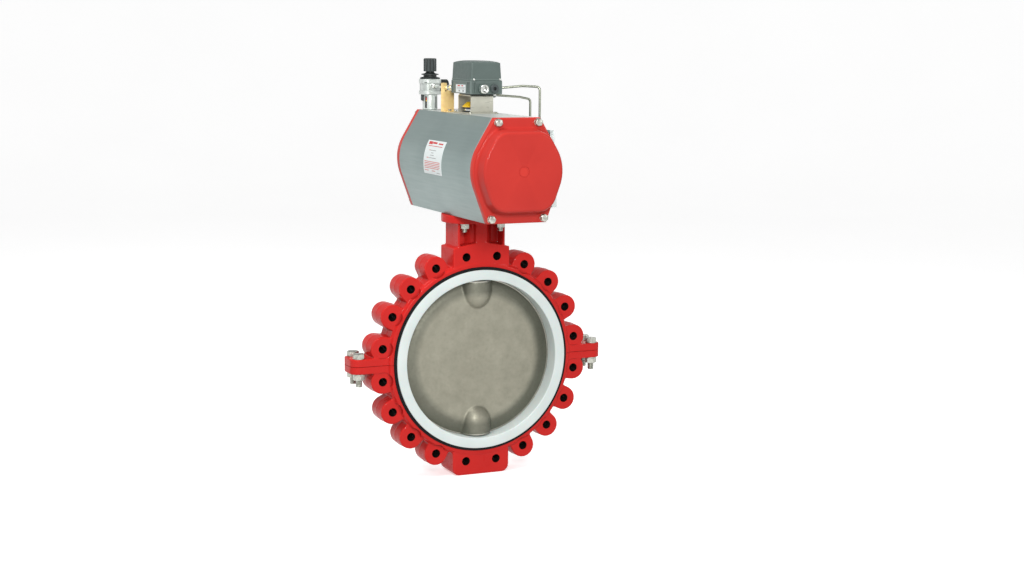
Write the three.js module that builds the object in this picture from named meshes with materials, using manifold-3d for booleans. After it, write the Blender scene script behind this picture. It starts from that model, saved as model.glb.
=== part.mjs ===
// Lug-pattern butterfly valve, 20 inch (DN 500), with a rack-and-pinion pneumatic actuator, a positioner
// and an air filter regulator. Millimetres, +Z up along the stem, +Y along the pipe away from the viewer,
// origin where the stem axis crosses the pipe axis. The disc is shut and both pistons are inward at rest.
import * as THREE from 'three';
import { mergeVertices } from 'three/addons/utils/BufferGeometryUtils.js';
import Module from 'manifold-3d';

const wasm = await Module();
wasm.setup();

// ---------------------------------------------------------------- driving dimensions
const GAP = 0.3;            // clearance kept between pieces that touch
const RUN = 0.3;            // radial clearance of a running fit, measured at the facet corners

const FACE_TO_FACE = 127;   // over the two liner faces
const BOLT_CIRCLE_R = 317.5;
const BOLT_COUNT = 20;
const BOLT_HOLE_R = 12.5;
const RING_SIDES = 40;      // facets of every ring around the pipe axis

const BORE_R = 243;
const LINER_R = 273.5;
const LINER_SLEEVE_R = 253;
const ENERGIZER_SLEEVE_R = 262;
const ENERGIZER_R = 282.5;
const ENERGIZER_FACE = 60;
const LINER_FLANGE = 8;

const RING_FACE = 55.5;     // half thickness of the casting at the gasket face
const SEAT_STEP = 49.7;     // depth of the recess for the seat flanges, from the middle plane
const RING_FACE_R = 293;
const RING_R = 300;
const LUG_R = 37.5;
const LUG_FACE = 44.5;
const LUG_SIDES = 12;

const CASTING_ROOT = 284;   // where the neck, the foot and the lugs start inside the ring
const NECK = { halfX: 91.2, halfY: 53.4, shoulder: 342, ridge: 359, columnLow: 330 };
const FOOT = { halfX: 92, halfY: 53.4, bottom: -357, corner: 22 };
// Between the shoulder and the flange the neck is a box with four pockets around a middle rib.
const BOX = { halfX: 76, halfY: 52, wall: 6, rib: 19, web: 14, columnR: 44 };
const FLANGE = { r: 103.5, halfY: 76, bottom: 416, top: 440 };
const MOUNT_OFFSET = 58.3;  // F16 pattern, 165 mm pitch circle

const EAR = { root: 296, end: 410, halfY: 46, thick: 22.5, corner: 24 };
const EAR_BOLT = { x: 383, y: 27, r: 9.8, hole: 10.3, flats: 32, head: 13, nut: 17, tip: -62 };

const STEM_R = 26;
const STEM_SIDES = 24;
const SCREW_SIDES = 8;       // facets of bolts, studs and their holes, all turned alike
const STEM_SQUARE = 36;
const DISC_R = 242.2;
const DISC = { half: 22, flatR: 200, rim: 12 };  // thickest in the middle, thin at the sealing rim
const HUB_R = 50;

const ACT = { z: 591, r: 138, bore: 124, half: 291, top: 742.2, topX: 70.7, bottom: 440.3, bottomX: 92 };
const CAP = { flange: 22.4, end: 360, wall: 8, taper: 5, inner: 104, inset: 11, corners: [62, 66],
  base: [121.6, -124.6], face: [111.5, -114] };
const CAP_BOLT = { r: 7.8, hole: 8.2, flats: 20, head: 12.5, depth: 38, top: [62, 729], low: [82, 454.5] };

const GEAR = { module: 5, teeth: 20, half: 27, backlash: 0.5, pressure: THREE.MathUtils.degToRad(20) };
const PITCH_R = GEAR.module * GEAR.teeth / 2;
const PISTON = { r: 123.2, inner: 97, outer: 165, floor: 113, pocket: 104, ringGap: [124, 132],
  ringDepth: 118 };
const RACK = { half: 25, back: 90, end: 94 };

const POS = { halfX: 51.5, front: -83, back: 70, bottom: 801, split: 840.8, top: 893, crown: 899, wall: 3.5 };
const REG = { x: -43, y: 269, port: 816.5, half: 31 };

// ---------------------------------------------------------------- materials
const paint = (color, roughness, metalness) =>
  new THREE.MeshStandardMaterial({ color, roughness, metalness });
const RED = paint(0xc8201c, 0.4, 0);
const WHITE = paint(0xe6ecea, 0.5, 0);
const RUBBER = paint(0x1b1c1d, 0.8, 0);
const CAST_STEEL = paint(0x949382, 0.45, 0.8);
const ALUMINIUM = paint(0x9cabab, 0.4, 0.8);
const STEEL = paint(0xc8c8c0, 0.3, 1);
const BRONZE = paint(0xa9823f, 0.4, 0.9);
const GREY_PLASTIC = paint(0x5f6f6c, 0.55, 0);
const BLACK_PLASTIC = paint(0x22282a, 0.5, 0);
const YELLOW = paint(0xd8b010, 0.5, 0);
const GILT = paint(0xd4b86c, 0.4, 0.8);
const SILVER = paint(0xdfe5e3, 0.35, 0.6);
const LABEL = paint(0xf0f0ee, 0.5, 0);

// ---------------------------------------------------------------- solids
function signedVolume(position, index) {
  const corner = [new THREE.Vector3(), new THREE.Vector3(), new THREE.Vector3()];
  let volume = 0;
  for (let i = 0; i < index.length; i += 3) {
    corner.forEach((v, k) => v.fromBufferAttribute(position, index[i + k]));
    volume += corner[0].dot(corner[1].cross(corner[2]));
  }
  return volume;
}

// A closed three.js geometry as a manifold solid, with its faces turned outward.
function solid(geometry) {
  const bare = geometry.clone();
  bare.deleteAttribute('normal');
  bare.deleteAttribute('uv');
  const merged = mergeVertices(bare, 1e-4);
  const position = merged.getAttribute('position');
  let triangles = [];
  const index = merged.getIndex().array;
  for (let i = 0; i < index.length; i += 3) {
    const [a, b, c] = index.slice(i, i + 3);
    if (a !== b && b !== c && c !== a) triangles.push([a, b, c]);
  }
  if (signedVolume(position, triangles.flat()) < 0) triangles = triangles.map(([a, b, c]) => [a, c, b]);
  return new wasm.Manifold(new wasm.Mesh({
    numProp: 3,
    vertProperties: new Float32Array(position.array),
    triVerts: new Uint32Array(triangles.flat()),
  }));
}

const join = (...solids) => solids.reduce((sum, next) => sum.add(next));
const cut = (base, ...tools) => tools.reduce((rest, tool) => rest.subtract(tool), base);

const AXES = {
  x: new THREE.Matrix4().makeBasis(
    new THREE.Vector3(0, 1, 0), new THREE.Vector3(0, 0, 1), new THREE.Vector3(1, 0, 0)),
  y: new THREE.Matrix4().makeBasis(
    new THREE.Vector3(1, 0, 0), new THREE.Vector3(0, 0, 1), new THREE.Vector3(0, 1, 0)),
  z: new THREE.Matrix4(),
};
const ALONG = { x: [1, 0, 0], y: [0, 1, 0], z: [0, 0, 1] };

// Extrudes an outline along an axis: the outline is drawn in (y, z), (x, z) or (x, y).
function prism(axis, outline, from, to, curveSegments = 12) {
  const geometry = new THREE.ExtrudeGeometry(outline,
    { depth: to - from, bevelEnabled: false, curveSegments });
  geometry.applyMatrix4(AXES[axis]);
  geometry.translate(...ALONG[axis].map((v) => v * from));
  return solid(geometry);
}

// Revolves [radius, height] points about an axis through the given place.
function revolve(axis, points, sides, place = [0, 0, 0]) {
  const profile = points.map(([r, h]) => new THREE.Vector2(r, h));
  const geometry = new THREE.LatheGeometry(profile, sides);
  geometry.rotateX(Math.PI / 2);
  geometry.applyMatrix4(AXES[axis]);
  geometry.translate(...place);
  return solid(geometry);
}

const rod = (axis, r, from, to, place, sides = 24) =>
  revolve(axis, [[0, from], [r, from], [r, to], [0, to]], sides, place);

const tube = (axis, inner, outer, from, to, place, sides = 32) =>
  revolve(axis, [[inner, from], [outer, from], [outer, to], [inner, to], [inner, from]], sides, place);

function block(low, high) {
  const geometry = new THREE.BoxGeometry(high[0] - low[0], high[1] - low[1], high[2] - low[2]);
  geometry.translate((low[0] + high[0]) / 2, (low[1] + high[1]) / 2, (low[2] + high[2]) / 2);
  return solid(geometry);
}

const polygon = (points) => new THREE.Shape(points.map(([a, b]) => new THREE.Vector2(a, b)));

// A polygon whose corner i is rounded to radius radii[i].
function rounded(points, radii) {
  const corners = points.map(([a, b]) => new THREE.Vector2(a, b));
  const outline = new THREE.Shape();
  corners.forEach((corner, i) => {
    const before = corners[(i + corners.length - 1) % corners.length];
    const after = corners[(i + 1) % corners.length];
    const toBefore = before.clone().sub(corner).normalize();
    const toAfter = after.clone().sub(corner).normalize();
    const half = Math.acos(toBefore.dot(toAfter)) / 2;
    const reach = radii[i] / Math.tan(half);
    const start = corner.clone().addScaledVector(toBefore, reach);
    const end = corner.clone().addScaledVector(toAfter, reach);
    if (i === 0) outline.moveTo(start.x, start.y);
    else outline.lineTo(start.x, start.y);
    if (radii[i] > 0) {
      const middle = toBefore.clone().add(toAfter).normalize();
      const centre = corner.clone().addScaledVector(middle, radii[i] / Math.sin(half));
      const from = Math.atan2(start.y - centre.y, start.x - centre.x);
      const to = Math.atan2(end.y - centre.y, end.x - centre.x);
      const turn = toBefore.cross(toAfter) > 0;
      outline.absarc(centre.x, centre.y, radii[i], from, to, turn);
    }
  });
  outline.closePath();
  return outline;
}

const rectangle = (x0, y0, x1, y1, radius) =>
  rounded([[x0, y0], [x1, y0], [x1, y1], [x0, y1]], [radius, radius, radius, radius]);

function hexagon(flats, cx = 0, cy = 0) {
  const radius = flats / Math.sqrt(3);
  const corner = (i) => [cx + radius * Math.cos(i * Math.PI / 3), cy + radius * Math.sin(i * Math.PI / 3)];
  return polygon([0, 1, 2, 3, 4, 5].map(corner));
}

// Joins two outlines with the same number of points, in planes across the Y axis, into one solid.
function loftY(first, second, from, to) {
  if (THREE.ShapeUtils.isClockWise(first)) {
    first.reverse();
    second.reverse();
  }
  const count = first.length;
  const vertices = [];
  first.forEach((p) => vertices.push(p.x, from, p.y));
  second.forEach((p) => vertices.push(p.x, to, p.y));
  const triangles = [];
  for (let i = 0; i < count; i++) {
    const next = (i + 1) % count;
    triangles.push(i, next, count + i, next, count + next, count + i);
  }
  THREE.ShapeUtils.triangulateShape(first, []).forEach(([a, b, c]) => {
    triangles.push(c, b, a, count + a, count + b, count + c);
  });
  const geometry = new THREE.BufferGeometry();
  geometry.setAttribute('position', new THREE.Float32BufferAttribute(vertices, 3));
  geometry.setIndex(triangles);
  return solid(geometry);
}

const root = new THREE.Group();

function add(name, shape, material) {
  const data = shape.getMesh();
  const geometry = new THREE.BufferGeometry();
  geometry.setAttribute('position', new THREE.BufferAttribute(new Float32Array(data.vertProperties), 3));
  geometry.setIndex(new THREE.BufferAttribute(new Uint32Array(data.triVerts), 1));
  geometry.computeVertexNormals();
  const piece = new THREE.Mesh(geometry, material);
  piece.name = name;
  root.add(piece);
}

// ---------------------------------------------------------------- valve body
const boltAngles = Array.from({ length: BOLT_COUNT }, (_, i) => (i + 0.5) * 2 * Math.PI / BOLT_COUNT);
const boltCentre = (angle) => [BOLT_CIRCLE_R * Math.sin(angle), BOLT_CIRCLE_R * Math.cos(angle)];

// One ring-shaped casting profile, mirrored across the middle plane of the valve.
function castRing() {
  const bore = ENERGIZER_SLEEVE_R + GAP;
  const seat = ENERGIZER_R + GAP;
  const half = [[bore, SEAT_STEP], [seat, SEAT_STEP], [seat, RING_FACE], [RING_FACE_R, RING_FACE],
    [RING_FACE_R + 4, LUG_FACE], [RING_R, LUG_FACE]];
  const other = half.map(([r, y]) => [r, -y]).reverse();
  return revolve('y', [...half, ...other, half[0]], RING_SIDES);
}

function lug(angle) {
  const [x, z] = boltCentre(angle);
  const inward = BOLT_CIRCLE_R - RING_FACE_R + 4;
  const outline = new THREE.Shape();
  outline.moveTo(LUG_R, -inward);
  outline.lineTo(LUG_R, 0);
  outline.absarc(0, 0, LUG_R, 0, Math.PI, false);
  outline.lineTo(-LUG_R, -inward);
  outline.closePath();
  const geometry = new THREE.ExtrudeGeometry(outline, {
    depth: 2 * LUG_FACE, bevelEnabled: false, curveSegments: LUG_SIDES / 2,
  });
  geometry.applyMatrix4(AXES.y);
  geometry.translate(0, -LUG_FACE, 0);
  geometry.rotateY(angle);
  geometry.translate(x, 0, z);
  return solid(geometry);
}

function neck() {
  const shoulder = polygon([[-NECK.halfX, CASTING_ROOT], [NECK.halfX, CASTING_ROOT],
    [NECK.halfX, NECK.shoulder], [0, NECK.ridge], [-NECK.halfX, NECK.shoulder]]);
  const top = FLANGE.bottom + 2;
  const pocket = rounded([[BOX.rib, BOX.web], [BOX.halfX - BOX.wall, BOX.web],
    [BOX.halfX - BOX.wall, BOX.halfY + 8], [BOX.rib, BOX.halfY + 8]], [3, 3, 0, 0]);
  const quarter = prism('z', pocket, NECK.columnLow - 1, top + 1, 2);
  const pockets = [[1, 1], [-1, 1], [1, -1], [-1, -1]].map(([x, y]) => quarter.scale([x, y, 1]));
  const box = cut(block([-BOX.halfX, -BOX.halfY, NECK.columnLow], [BOX.halfX, BOX.halfY, top]), ...pockets);
  const column = rod('z', BOX.columnR, NECK.columnLow, top, [0, 0, 0], 24);
  const plate = rod('z', FLANGE.r, FLANGE.bottom, FLANGE.top, [0, 0, 0], 36)
    .intersect(block([-120, -FLANGE.halfY, 400], [120, FLANGE.halfY, 460]));
  return join(prism('y', shoulder, -NECK.halfY, NECK.halfY), box, column, plate);
}

function foot() {
  const outline = rounded([[-FOOT.halfX, FOOT.bottom], [FOOT.halfX, FOOT.bottom], [FOOT.halfX, -CASTING_ROOT],
    [-FOOT.halfX, -CASTING_ROOT]], [FOOT.corner, FOOT.corner, 0, 0]);
  return prism('y', outline, -FOOT.halfY, FOOT.halfY, 4);
}

function ear(side) {
  const outline = rounded([[EAR.root, -EAR.halfY], [EAR.end, -EAR.halfY], [EAR.end, EAR.halfY],
    [EAR.root, EAR.halfY]], [0, EAR.corner, EAR.corner, 0]);
  const plate = prism('z', outline, -EAR.thick, EAR.thick, 5);
  return side > 0 ? plate : plate.mirror([1, 0, 0]);
}

const MOUNT_POINTS = [[-1, -1], [1, -1], [-1, 1], [1, 1]]
  .map(([x, y]) => [x * MOUNT_OFFSET, y * MOUNT_OFFSET]);
const EAR_POINTS = [[-1, -1], [-1, 1], [1, -1], [1, 1]].map(([x, y]) => [x * EAR_BOLT.x, y * EAR_BOLT.y]);

// Stem bore of the upper half: stem clearance, bearing, packing and gland recess, from the bottom up.
const STEM_BORE = { bearing: [300, 400], packing: 425, bearingR: 31.3, packingR: 34.3, glandR: 42 };
const LOWER_BORE = { end: -342, bush: [-337.5, -270] };
const STEM_TIP = -338;
const STEM_TOP = 515;

function bodyCasting() {
  const lugs = boltAngles.filter((a) => Math.abs(Math.cos(a)) < 0.98).map(lug);
  let casting = join(castRing(), ...lugs, neck(), foot(), ear(1), ear(-1));
  const bore = tube('y', BORE_R - 3, ENERGIZER_SLEEVE_R + GAP, -SEAT_STEP, SEAT_STEP, [0, 0, 0], RING_SIDES);
  const counterbore = [-1, 1].map((side) => tube('y', BORE_R - 3, ENERGIZER_R + GAP,
    side > 0 ? SEAT_STEP : -70, side > 0 ? 70 : -SEAT_STEP, [0, 0, 0], RING_SIDES));
  const boltHoles = boltAngles.map((a) => {
    const [x, z] = boltCentre(a);
    return rod('y', BOLT_HOLE_R, -60, 60, [x, 0, z], 12);
  });
  const stemHole = revolve('z', [[0, 240], [STEM_R + 0.6, 240], [STEM_R + 0.6, STEM_BORE.bearing[0]],
    [STEM_BORE.bearingR, STEM_BORE.bearing[0]], [STEM_BORE.bearingR, STEM_BORE.bearing[1]],
    [STEM_BORE.packingR, STEM_BORE.bearing[1]], [STEM_BORE.packingR, STEM_BORE.packing],
    [STEM_BORE.glandR, STEM_BORE.packing], [STEM_BORE.glandR, 445], [0, 445]], STEM_SIDES);
  const lowerHole = rod('z', STEM_BORE.bearingR, LOWER_BORE.end, -240, [0, 0, 0], STEM_SIDES);
  const mountHoles = MOUNT_POINTS.map(([x, y]) => rod('z', 8.4, 400, 450, [x, y, 0], SCREW_SIDES));
  const earHoles = EAR_POINTS.map(([x, y]) => rod('z', EAR_BOLT.hole, -30, 30, [x, y, 0], SCREW_SIDES));
  return cut(casting, bore, ...counterbore, ...boltHoles, stemHole, lowerHole, ...mountHoles, ...earHoles);
}

const casting = bodyCasting();
add('body_upper_half', casting.intersect(block([-450, -80, GAP / 2], [450, 80, 500])), RED);
add('body_lower_half', casting.intersect(block([-450, -80, -500], [450, 80, -GAP / 2])), RED);

// ---------------------------------------------------------------- seat
const half = FACE_TO_FACE / 2;
const stemPass = rod('z', STEM_R + GAP, -300, 300, [0, 0, 0], STEM_SIDES);

function seatLiner() {
  const lip = half - LINER_FLANGE;
  const profile = [[BORE_R, -half], [LINER_R, -half], [LINER_R, -lip], [LINER_SLEEVE_R, -lip],
    [LINER_SLEEVE_R, lip], [LINER_R, lip], [LINER_R, half], [BORE_R, half], [BORE_R, -half]];
  return cut(revolve('y', profile, RING_SIDES), stemPass);
}

function seatEnergizer() {
  const inner = LINER_SLEEVE_R + GAP;
  const lip = half - LINER_FLANGE - GAP;
  const side = [[inner, lip], [LINER_R + GAP, lip], [LINER_R + GAP, ENERGIZER_FACE],
    [ENERGIZER_R, ENERGIZER_FACE], [ENERGIZER_R, 50], [ENERGIZER_SLEEVE_R, 50]];
  const other = side.map(([r, y]) => [r, -y]).reverse();
  return cut(revolve('y', [...side, ...other, side[0]], RING_SIDES), stemPass);
}

add('seat_liner', seatLiner(), WHITE);
add('seat_energizer', seatEnergizer(), RUBBER);

// ---------------------------------------------------------------- disc and stem
function disc() {
  const rim = [-1, 0, 1].map((t) => [Math.sqrt(DISC_R ** 2 - (t * DISC.rim) ** 2), t * DISC.rim]);
  const faces = [-1, 1].map((side) => [[0, side * DISC.half], [DISC.flatR, side * DISC.half]]);
  const profile = [...faces[0], ...rim, ...faces[1].reverse()];
  return revolve('y', profile, RING_SIDES);
}

// Half of the stem boss, its nose inside the disc and its flat end on the disc's sphere.
function hub(side) {
  const end = Math.sqrt(DISC_R ** 2 - HUB_R ** 2);
  const nose = { tip: 148, length: 58 };
  const steps = 3;
  const curve = Array.from({ length: steps + 1 }, (_, i) => {
    const t = i / steps * Math.PI / 2;
    return [HUB_R * Math.sin(t) ** 0.9, nose.tip + nose.length * (1 - Math.cos(t))];
  });
  const profile = [...curve, [HUB_R, end], [0, end]].map(([r, z]) => [r, side * z]);
  return revolve('z', profile, STEM_SIDES);
}

function discStem() {
  const shaft = rod('z', STEM_R, STEM_TIP, -200, [0, 0, 0], STEM_SIDES)
    .add(rod('z', STEM_R, 200, FLANGE.top + 1, [0, 0, 0], STEM_SIDES));
  const square = block([-STEM_SQUARE / 2, -STEM_SQUARE / 2, FLANGE.top],
    [STEM_SQUARE / 2, STEM_SQUARE / 2, STEM_TOP]);
  return join(disc(), hub(1), hub(-1), shaft, square);
}

add('disc_stem', discStem(), CAST_STEEL);

const stemBush = (outer, from, to, inner = STEM_R + RUN) =>
  tube('z', inner, outer, from, to, [0, 0, 0], STEM_SIDES);
const [bearingLow, bearingHigh] = STEM_BORE.bearing;
add('upper_stem_bearing', stemBush(STEM_BORE.bearingR - GAP, bearingLow + GAP, bearingHigh - GAP), BRONZE);
add('lower_stem_bearing', stemBush(STEM_BORE.bearingR - GAP, ...LOWER_BORE.bush), BRONZE);
add('stem_packing', stemBush(STEM_BORE.packingR - GAP, bearingHigh + GAP, STEM_BORE.packing - GAP), RUBBER);
add('gland_retainer',
  stemBush(STEM_BORE.glandR - GAP, STEM_BORE.packing + GAP, FLANGE.top - GAP, STEM_R + 0.5),
  STEEL);

// ---------------------------------------------------------------- ear bolts and mounting studs
const SIDE_NAMES = ['left_front', 'left_rear', 'right_front', 'right_rear'];

EAR_POINTS.forEach(([x, y], i) => {
  const under = EAR.thick + GAP;
  const bolt = join(
    rod('z', EAR_BOLT.r, EAR_BOLT.tip, under + 1, [x, y, 0], SCREW_SIDES),
    prism('z', hexagon(EAR_BOLT.flats, x, y), under, under + EAR_BOLT.head),
  );
  const nut = cut(
    prism('z', hexagon(EAR_BOLT.flats, x, y), -under - EAR_BOLT.nut, -under),
    rod('z', EAR_BOLT.r + GAP, -60, -10, [x, y, 0], SCREW_SIDES),
  );
  add(`ear_bolt_${SIDE_NAMES[i]}`, bolt, STEEL);
  add(`ear_nut_${SIDE_NAMES[i]}`, nut, STEEL);
});

const MOUNT_NAMES = ['left_front', 'right_front', 'left_rear', 'right_rear'];
const STUD = { r: 7.8, tip: 390.6, end: 466, nutLow: 401.2, flats: 24 };
MOUNT_POINTS.forEach(([x, y], i) => {
  const stud = join(
    rod('z', STUD.r, STUD.tip, STUD.end, [x, y, 0], SCREW_SIDES),
    prism('z', hexagon(STUD.flats, x, y), STUD.nutLow, FLANGE.bottom - GAP),
  );
  add(`mounting_stud_${MOUNT_NAMES[i]}`, stud, STEEL);
});

// ---------------------------------------------------------------- actuator outline
// The actuator's cross-section: a circle with tangents to a flat top and a wider flat foot.
// inset moves the sides inward, and top and low say where the flats are.
function actuatorOutline(inset, top, low, corners, arcSteps) {
  const tangentAngle = (x, z) => Math.atan2(z, x) - Math.sign(z) * Math.acos(ACT.r / Math.hypot(x, z));
  const upper = tangentAngle(ACT.topX, ACT.top - ACT.z);
  const lower = tangentAngle(ACT.bottomX, ACT.bottom - ACT.z);
  const radius = ACT.r - inset;
  const onTangent = (angle, z) => [(radius - z * Math.sin(angle)) / Math.cos(angle), z];
  const right = [onTangent(lower, low)];
  for (let i = 0; i <= arcSteps; i++) {
    const angle = lower + (upper - lower) * i / arcSteps;
    right.push([radius * Math.cos(angle), radius * Math.sin(angle)]);
  }
  right.push(onTangent(upper, top));
  const left = right.map(([x, z]) => [-x, z]).reverse();
  const radii = [...right, ...left].map(([, z]) => (z === top ? corners[0] : z === low ? corners[1] : 0));
  return rounded([...right, ...left].map(([x, z]) => [x, z + ACT.z]), radii);
}

const fullOutline = () => actuatorOutline(0, ACT.top - ACT.z, ACT.bottom - ACT.z, [3, 3], 8);
const boltPoints = [...[1, -1].map((s) => [s * CAP_BOLT.top[0], CAP_BOLT.top[1]]),
  ...[1, -1].map((s) => [s * CAP_BOLT.low[0], CAP_BOLT.low[1]])];
const BOLT_NAMES = ['top_right', 'top_left', 'bottom_right', 'bottom_left'];

const JOURNAL = { lower: 46, lowerHole: 56, upper: 24, upperHole: 32, top: 20, neck: 42, low: 441.3,
  step: 742.4, end: 768, under: 430, over: 760 };
const COUPLING = { r: 36, end: 540 };

function actuatorBody() {
  const pad = polygon([[60, 480], [135.5, 480], [124, 703.5], [60, 703.5]]);
  const shell = join(prism('y', fullOutline(), -ACT.half, ACT.half, 2), prism('y', pad, -ACT.half, ACT.half));
  const [inside, outside] = [ACT.half - CAP_BOLT.depth - 4, ACT.half + 1];
  const boltHoles = boltPoints.flatMap(([x, z]) => [
    rod('y', CAP_BOLT.hole, -outside, -inside, [x, 0, z], SCREW_SIDES),
    rod('y', CAP_BOLT.hole, inside, outside, [x, 0, z], SCREW_SIDES),
  ]);
  const studHoles = MOUNT_POINTS.map(([x, y]) =>
    rod('z', STUD.r + 0.4, JOURNAL.under, STUD.end + 3, [x, y, 0], SCREW_SIDES));
  return cut(shell, rod('y', ACT.bore, -ACT.half - 1, ACT.half + 1, [0, 0, ACT.z], 32),
    rod('z', JOURNAL.lowerHole, JOURNAL.under, ACT.z, [0, 0, 0], 32),
    rod('z', JOURNAL.upperHole, ACT.z, JOURNAL.over, [0, 0, 0], 32), ...boltHoles, ...studHoles);
}

add('actuator_body', actuatorBody(), ALUMINIUM);

function endCap(side) {
  const inner = ACT.half + GAP;
  const face = ACT.half + CAP.flange;
  const base = actuatorOutline(CAP.inset, ...CAP.base, CAP.corners, 7).extractPoints(4).shape;
  const nose = actuatorOutline(CAP.inset + CAP.taper, ...CAP.face, CAP.corners, 7).extractPoints(4).shape;
  let cap = join(prism('y', fullOutline(), inner, face + 0.01, 2), loftY(base, nose, face, CAP.end));
  cap = cut(cap, rod('y', CAP.inner, inner - 1, CAP.end - CAP.wall, [0, 0, ACT.z], 24),
    ...boltPoints.map(([x, z]) => rod('y', CAP_BOLT.hole, 280, 320, [x, 0, z], SCREW_SIDES)));
  return side > 0 ? cap : cap.mirror([0, 1, 0]);
}

function capBolt(side, [x, z]) {
  const seat = ACT.half + CAP.flange + GAP;
  const bolt = join(rod('y', CAP_BOLT.r, ACT.half - CAP_BOLT.depth, seat + 1, [x, 0, z], SCREW_SIDES),
    prism('y', hexagon(CAP_BOLT.flats, x, z), seat, seat + CAP_BOLT.head));
  return side > 0 ? bolt : bolt.mirror([0, 1, 0]);
}

for (const [place, side] of [['front', -1], ['rear', 1]]) {
  add(`${place}_end_cap`, endCap(side), RED);
  boltPoints.forEach((point, i) => add(`${place}_cap_bolt_${BOLT_NAMES[i]}`, capBolt(side, point), STEEL));
}

// ---------------------------------------------------------------- rack and pinion
// Involute gear outline with one tooth centred on +X.
function gearOutline() {
  const base = PITCH_R * Math.cos(GEAR.pressure);
  const tip = PITCH_R + GEAR.module;
  const foot = PITCH_R - 1.25 * GEAR.module;
  const involute = (r) => {
    const a = Math.acos(Math.min(1, base / r));
    return Math.tan(a) - a;
  };
  const halfTooth = Math.PI / (2 * GEAR.teeth) - GEAR.backlash / (4 * PITCH_R);
  const steps = 1;
  const flank = [[foot, halfTooth + involute(PITCH_R)]];
  for (let i = 0; i <= steps; i++) {
    const r = base + (tip - base) * i / steps;
    flank.push([r, halfTooth + involute(PITCH_R) - involute(r)]);
  }
  const points = [];
  for (let tooth = 0; tooth < GEAR.teeth; tooth++) {
    const middle = tooth * 2 * Math.PI / GEAR.teeth;
    const place = ([r, a]) => [r * Math.cos(middle + a), r * Math.sin(middle + a)];
    points.push(...flank.map(([r, a]) => place([r, -a])));
    points.push(...[...flank].reverse().map(place));
  }
  return polygon(points);
}

function pinion() {
  const [low, high] = [ACT.z - GEAR.half, ACT.z + GEAR.half];
  const shaft = revolve('z', [[0, JOURNAL.low], [JOURNAL.lower, JOURNAL.low], [JOURNAL.lower, low - 6],
    [JOURNAL.neck, low - 6], [JOURNAL.neck, high + 6], [JOURNAL.upper, high + 10],
    [JOURNAL.upper, JOURNAL.step], [JOURNAL.top, JOURNAL.step], [JOURNAL.top, JOURNAL.end],
    [0, JOURNAL.end]], 32);
  const gear = prism('z', gearOutline(), low, high);
  const socket = rod('z', COUPLING.r + GAP, JOURNAL.under, COUPLING.end + 5, [0, 0, 0], STEM_SIDES);
  return cut(join(shaft, gear), socket);
}

function stemCoupling() {
  const hole = STEM_SQUARE / 2 + GAP;
  return cut(rod('z', COUPLING.r, JOURNAL.low, COUPLING.end, [0, 0, 0], STEM_SIDES),
    block([-hole, -hole, JOURNAL.under], [hole, hole, STEM_TOP + 5]));
}

add('pinion', pinion(), STEEL);
add('stem_coupling', stemCoupling(), STEEL);
const BEARINGS = { lower: [441.5, 466], upper: [717, 741.8], thrust: [742.7, 748.5], thrustR: 40 };
const AXIS = [0, 0, 0];
add('pinion_lower_bearing',
  tube('z', JOURNAL.lower + RUN, JOURNAL.lowerHole - GAP, ...BEARINGS.lower, AXIS, 32), BLACK_PLASTIC);
add('pinion_upper_bearing',
  tube('z', JOURNAL.upper + RUN, JOURNAL.upperHole - GAP, ...BEARINGS.upper, AXIS, 24), BLACK_PLASTIC);
add('pinion_thrust_bearing',
  tube('z', JOURNAL.top + RUN, BEARINGS.thrustR, ...BEARINGS.thrust, AXIS, 24), BLACK_PLASTIC);

// Rack seen from above, teeth towards +X with a gap centred on y = 0, its pitch line at x = -PITCH_R.
function rackOutline() {
  const pitch = Math.PI * GEAR.module;
  const slope = Math.tan(GEAR.pressure);
  const halfTooth = pitch / 4 - GEAR.backlash / 2;
  const tip = -PITCH_R + GEAR.module;
  const foot = -PITCH_R - 1.25 * GEAR.module;
  const points = [[-RACK.back, -PISTON.inner - 4], [foot, -PISTON.inner - 4]];
  for (let centre = -5.5 * pitch; centre < RACK.end - halfTooth - 3; centre += pitch) {
    const atFoot = halfTooth + 1.25 * GEAR.module * slope;
    const atTip = halfTooth - GEAR.module * slope;
    points.push([foot, centre - atFoot], [tip, centre - atTip]);
    points.push([tip, centre + atTip], [foot, centre + atFoot]);
  }
  points.push([foot, RACK.end], [-RACK.back, RACK.end]);
  return polygon(points);
}

function piston() {
  const [ringLow, ringHigh] = PISTON.ringGap;
  const head = revolve('y', [[0, -PISTON.inner], [PISTON.r, -PISTON.inner], [PISTON.r, -ringLow],
    [PISTON.ringDepth, -ringLow], [PISTON.ringDepth, -ringHigh], [PISTON.r, -ringHigh],
    [PISTON.r, -PISTON.outer], [PISTON.pocket, -PISTON.outer], [PISTON.pocket, -PISTON.floor],
    [0, -PISTON.floor]], 32, [0, 0, ACT.z]);
  const rack = prism('z', rackOutline(), ACT.z - RACK.half, ACT.z + RACK.half);
  return join(head, rack);
}

function pistonRing() {
  const [low, high] = PISTON.ringGap;
  return tube('y', PISTON.ringDepth + GAP, ACT.bore - 0.3, -high + GAP, -low - GAP, [0, 0, ACT.z], 32);
}

const halfTurn = (shape) => shape.rotate([0, 0, 180]);
add('front_piston', piston(), ALUMINIUM);
add('front_piston_ring', pistonRing(), RUBBER);
add('rear_piston', halfTurn(piston()), ALUMINIUM);
add('rear_piston_ring', halfTurn(pistonRing()), RUBBER);

// ---------------------------------------------------------------- side port block and label
const PORTS = { z: 600, upperY: -91, lowerY: -22, x: 148, root: 128, margin: 20, low: 574, high: 622 };
function portManifold() {
  const plate = block([PORTS.root, PORTS.upperY - PORTS.margin, PORTS.low],
    [PORTS.x, PORTS.lowerY + PORTS.margin, PORTS.high]);
  return cut(plate, rod('y', ACT.r + GAP, -200, 200, [0, 0, ACT.z], 120));
}
add('port_manifold', portManifold(), ALUMINIUM);

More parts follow.
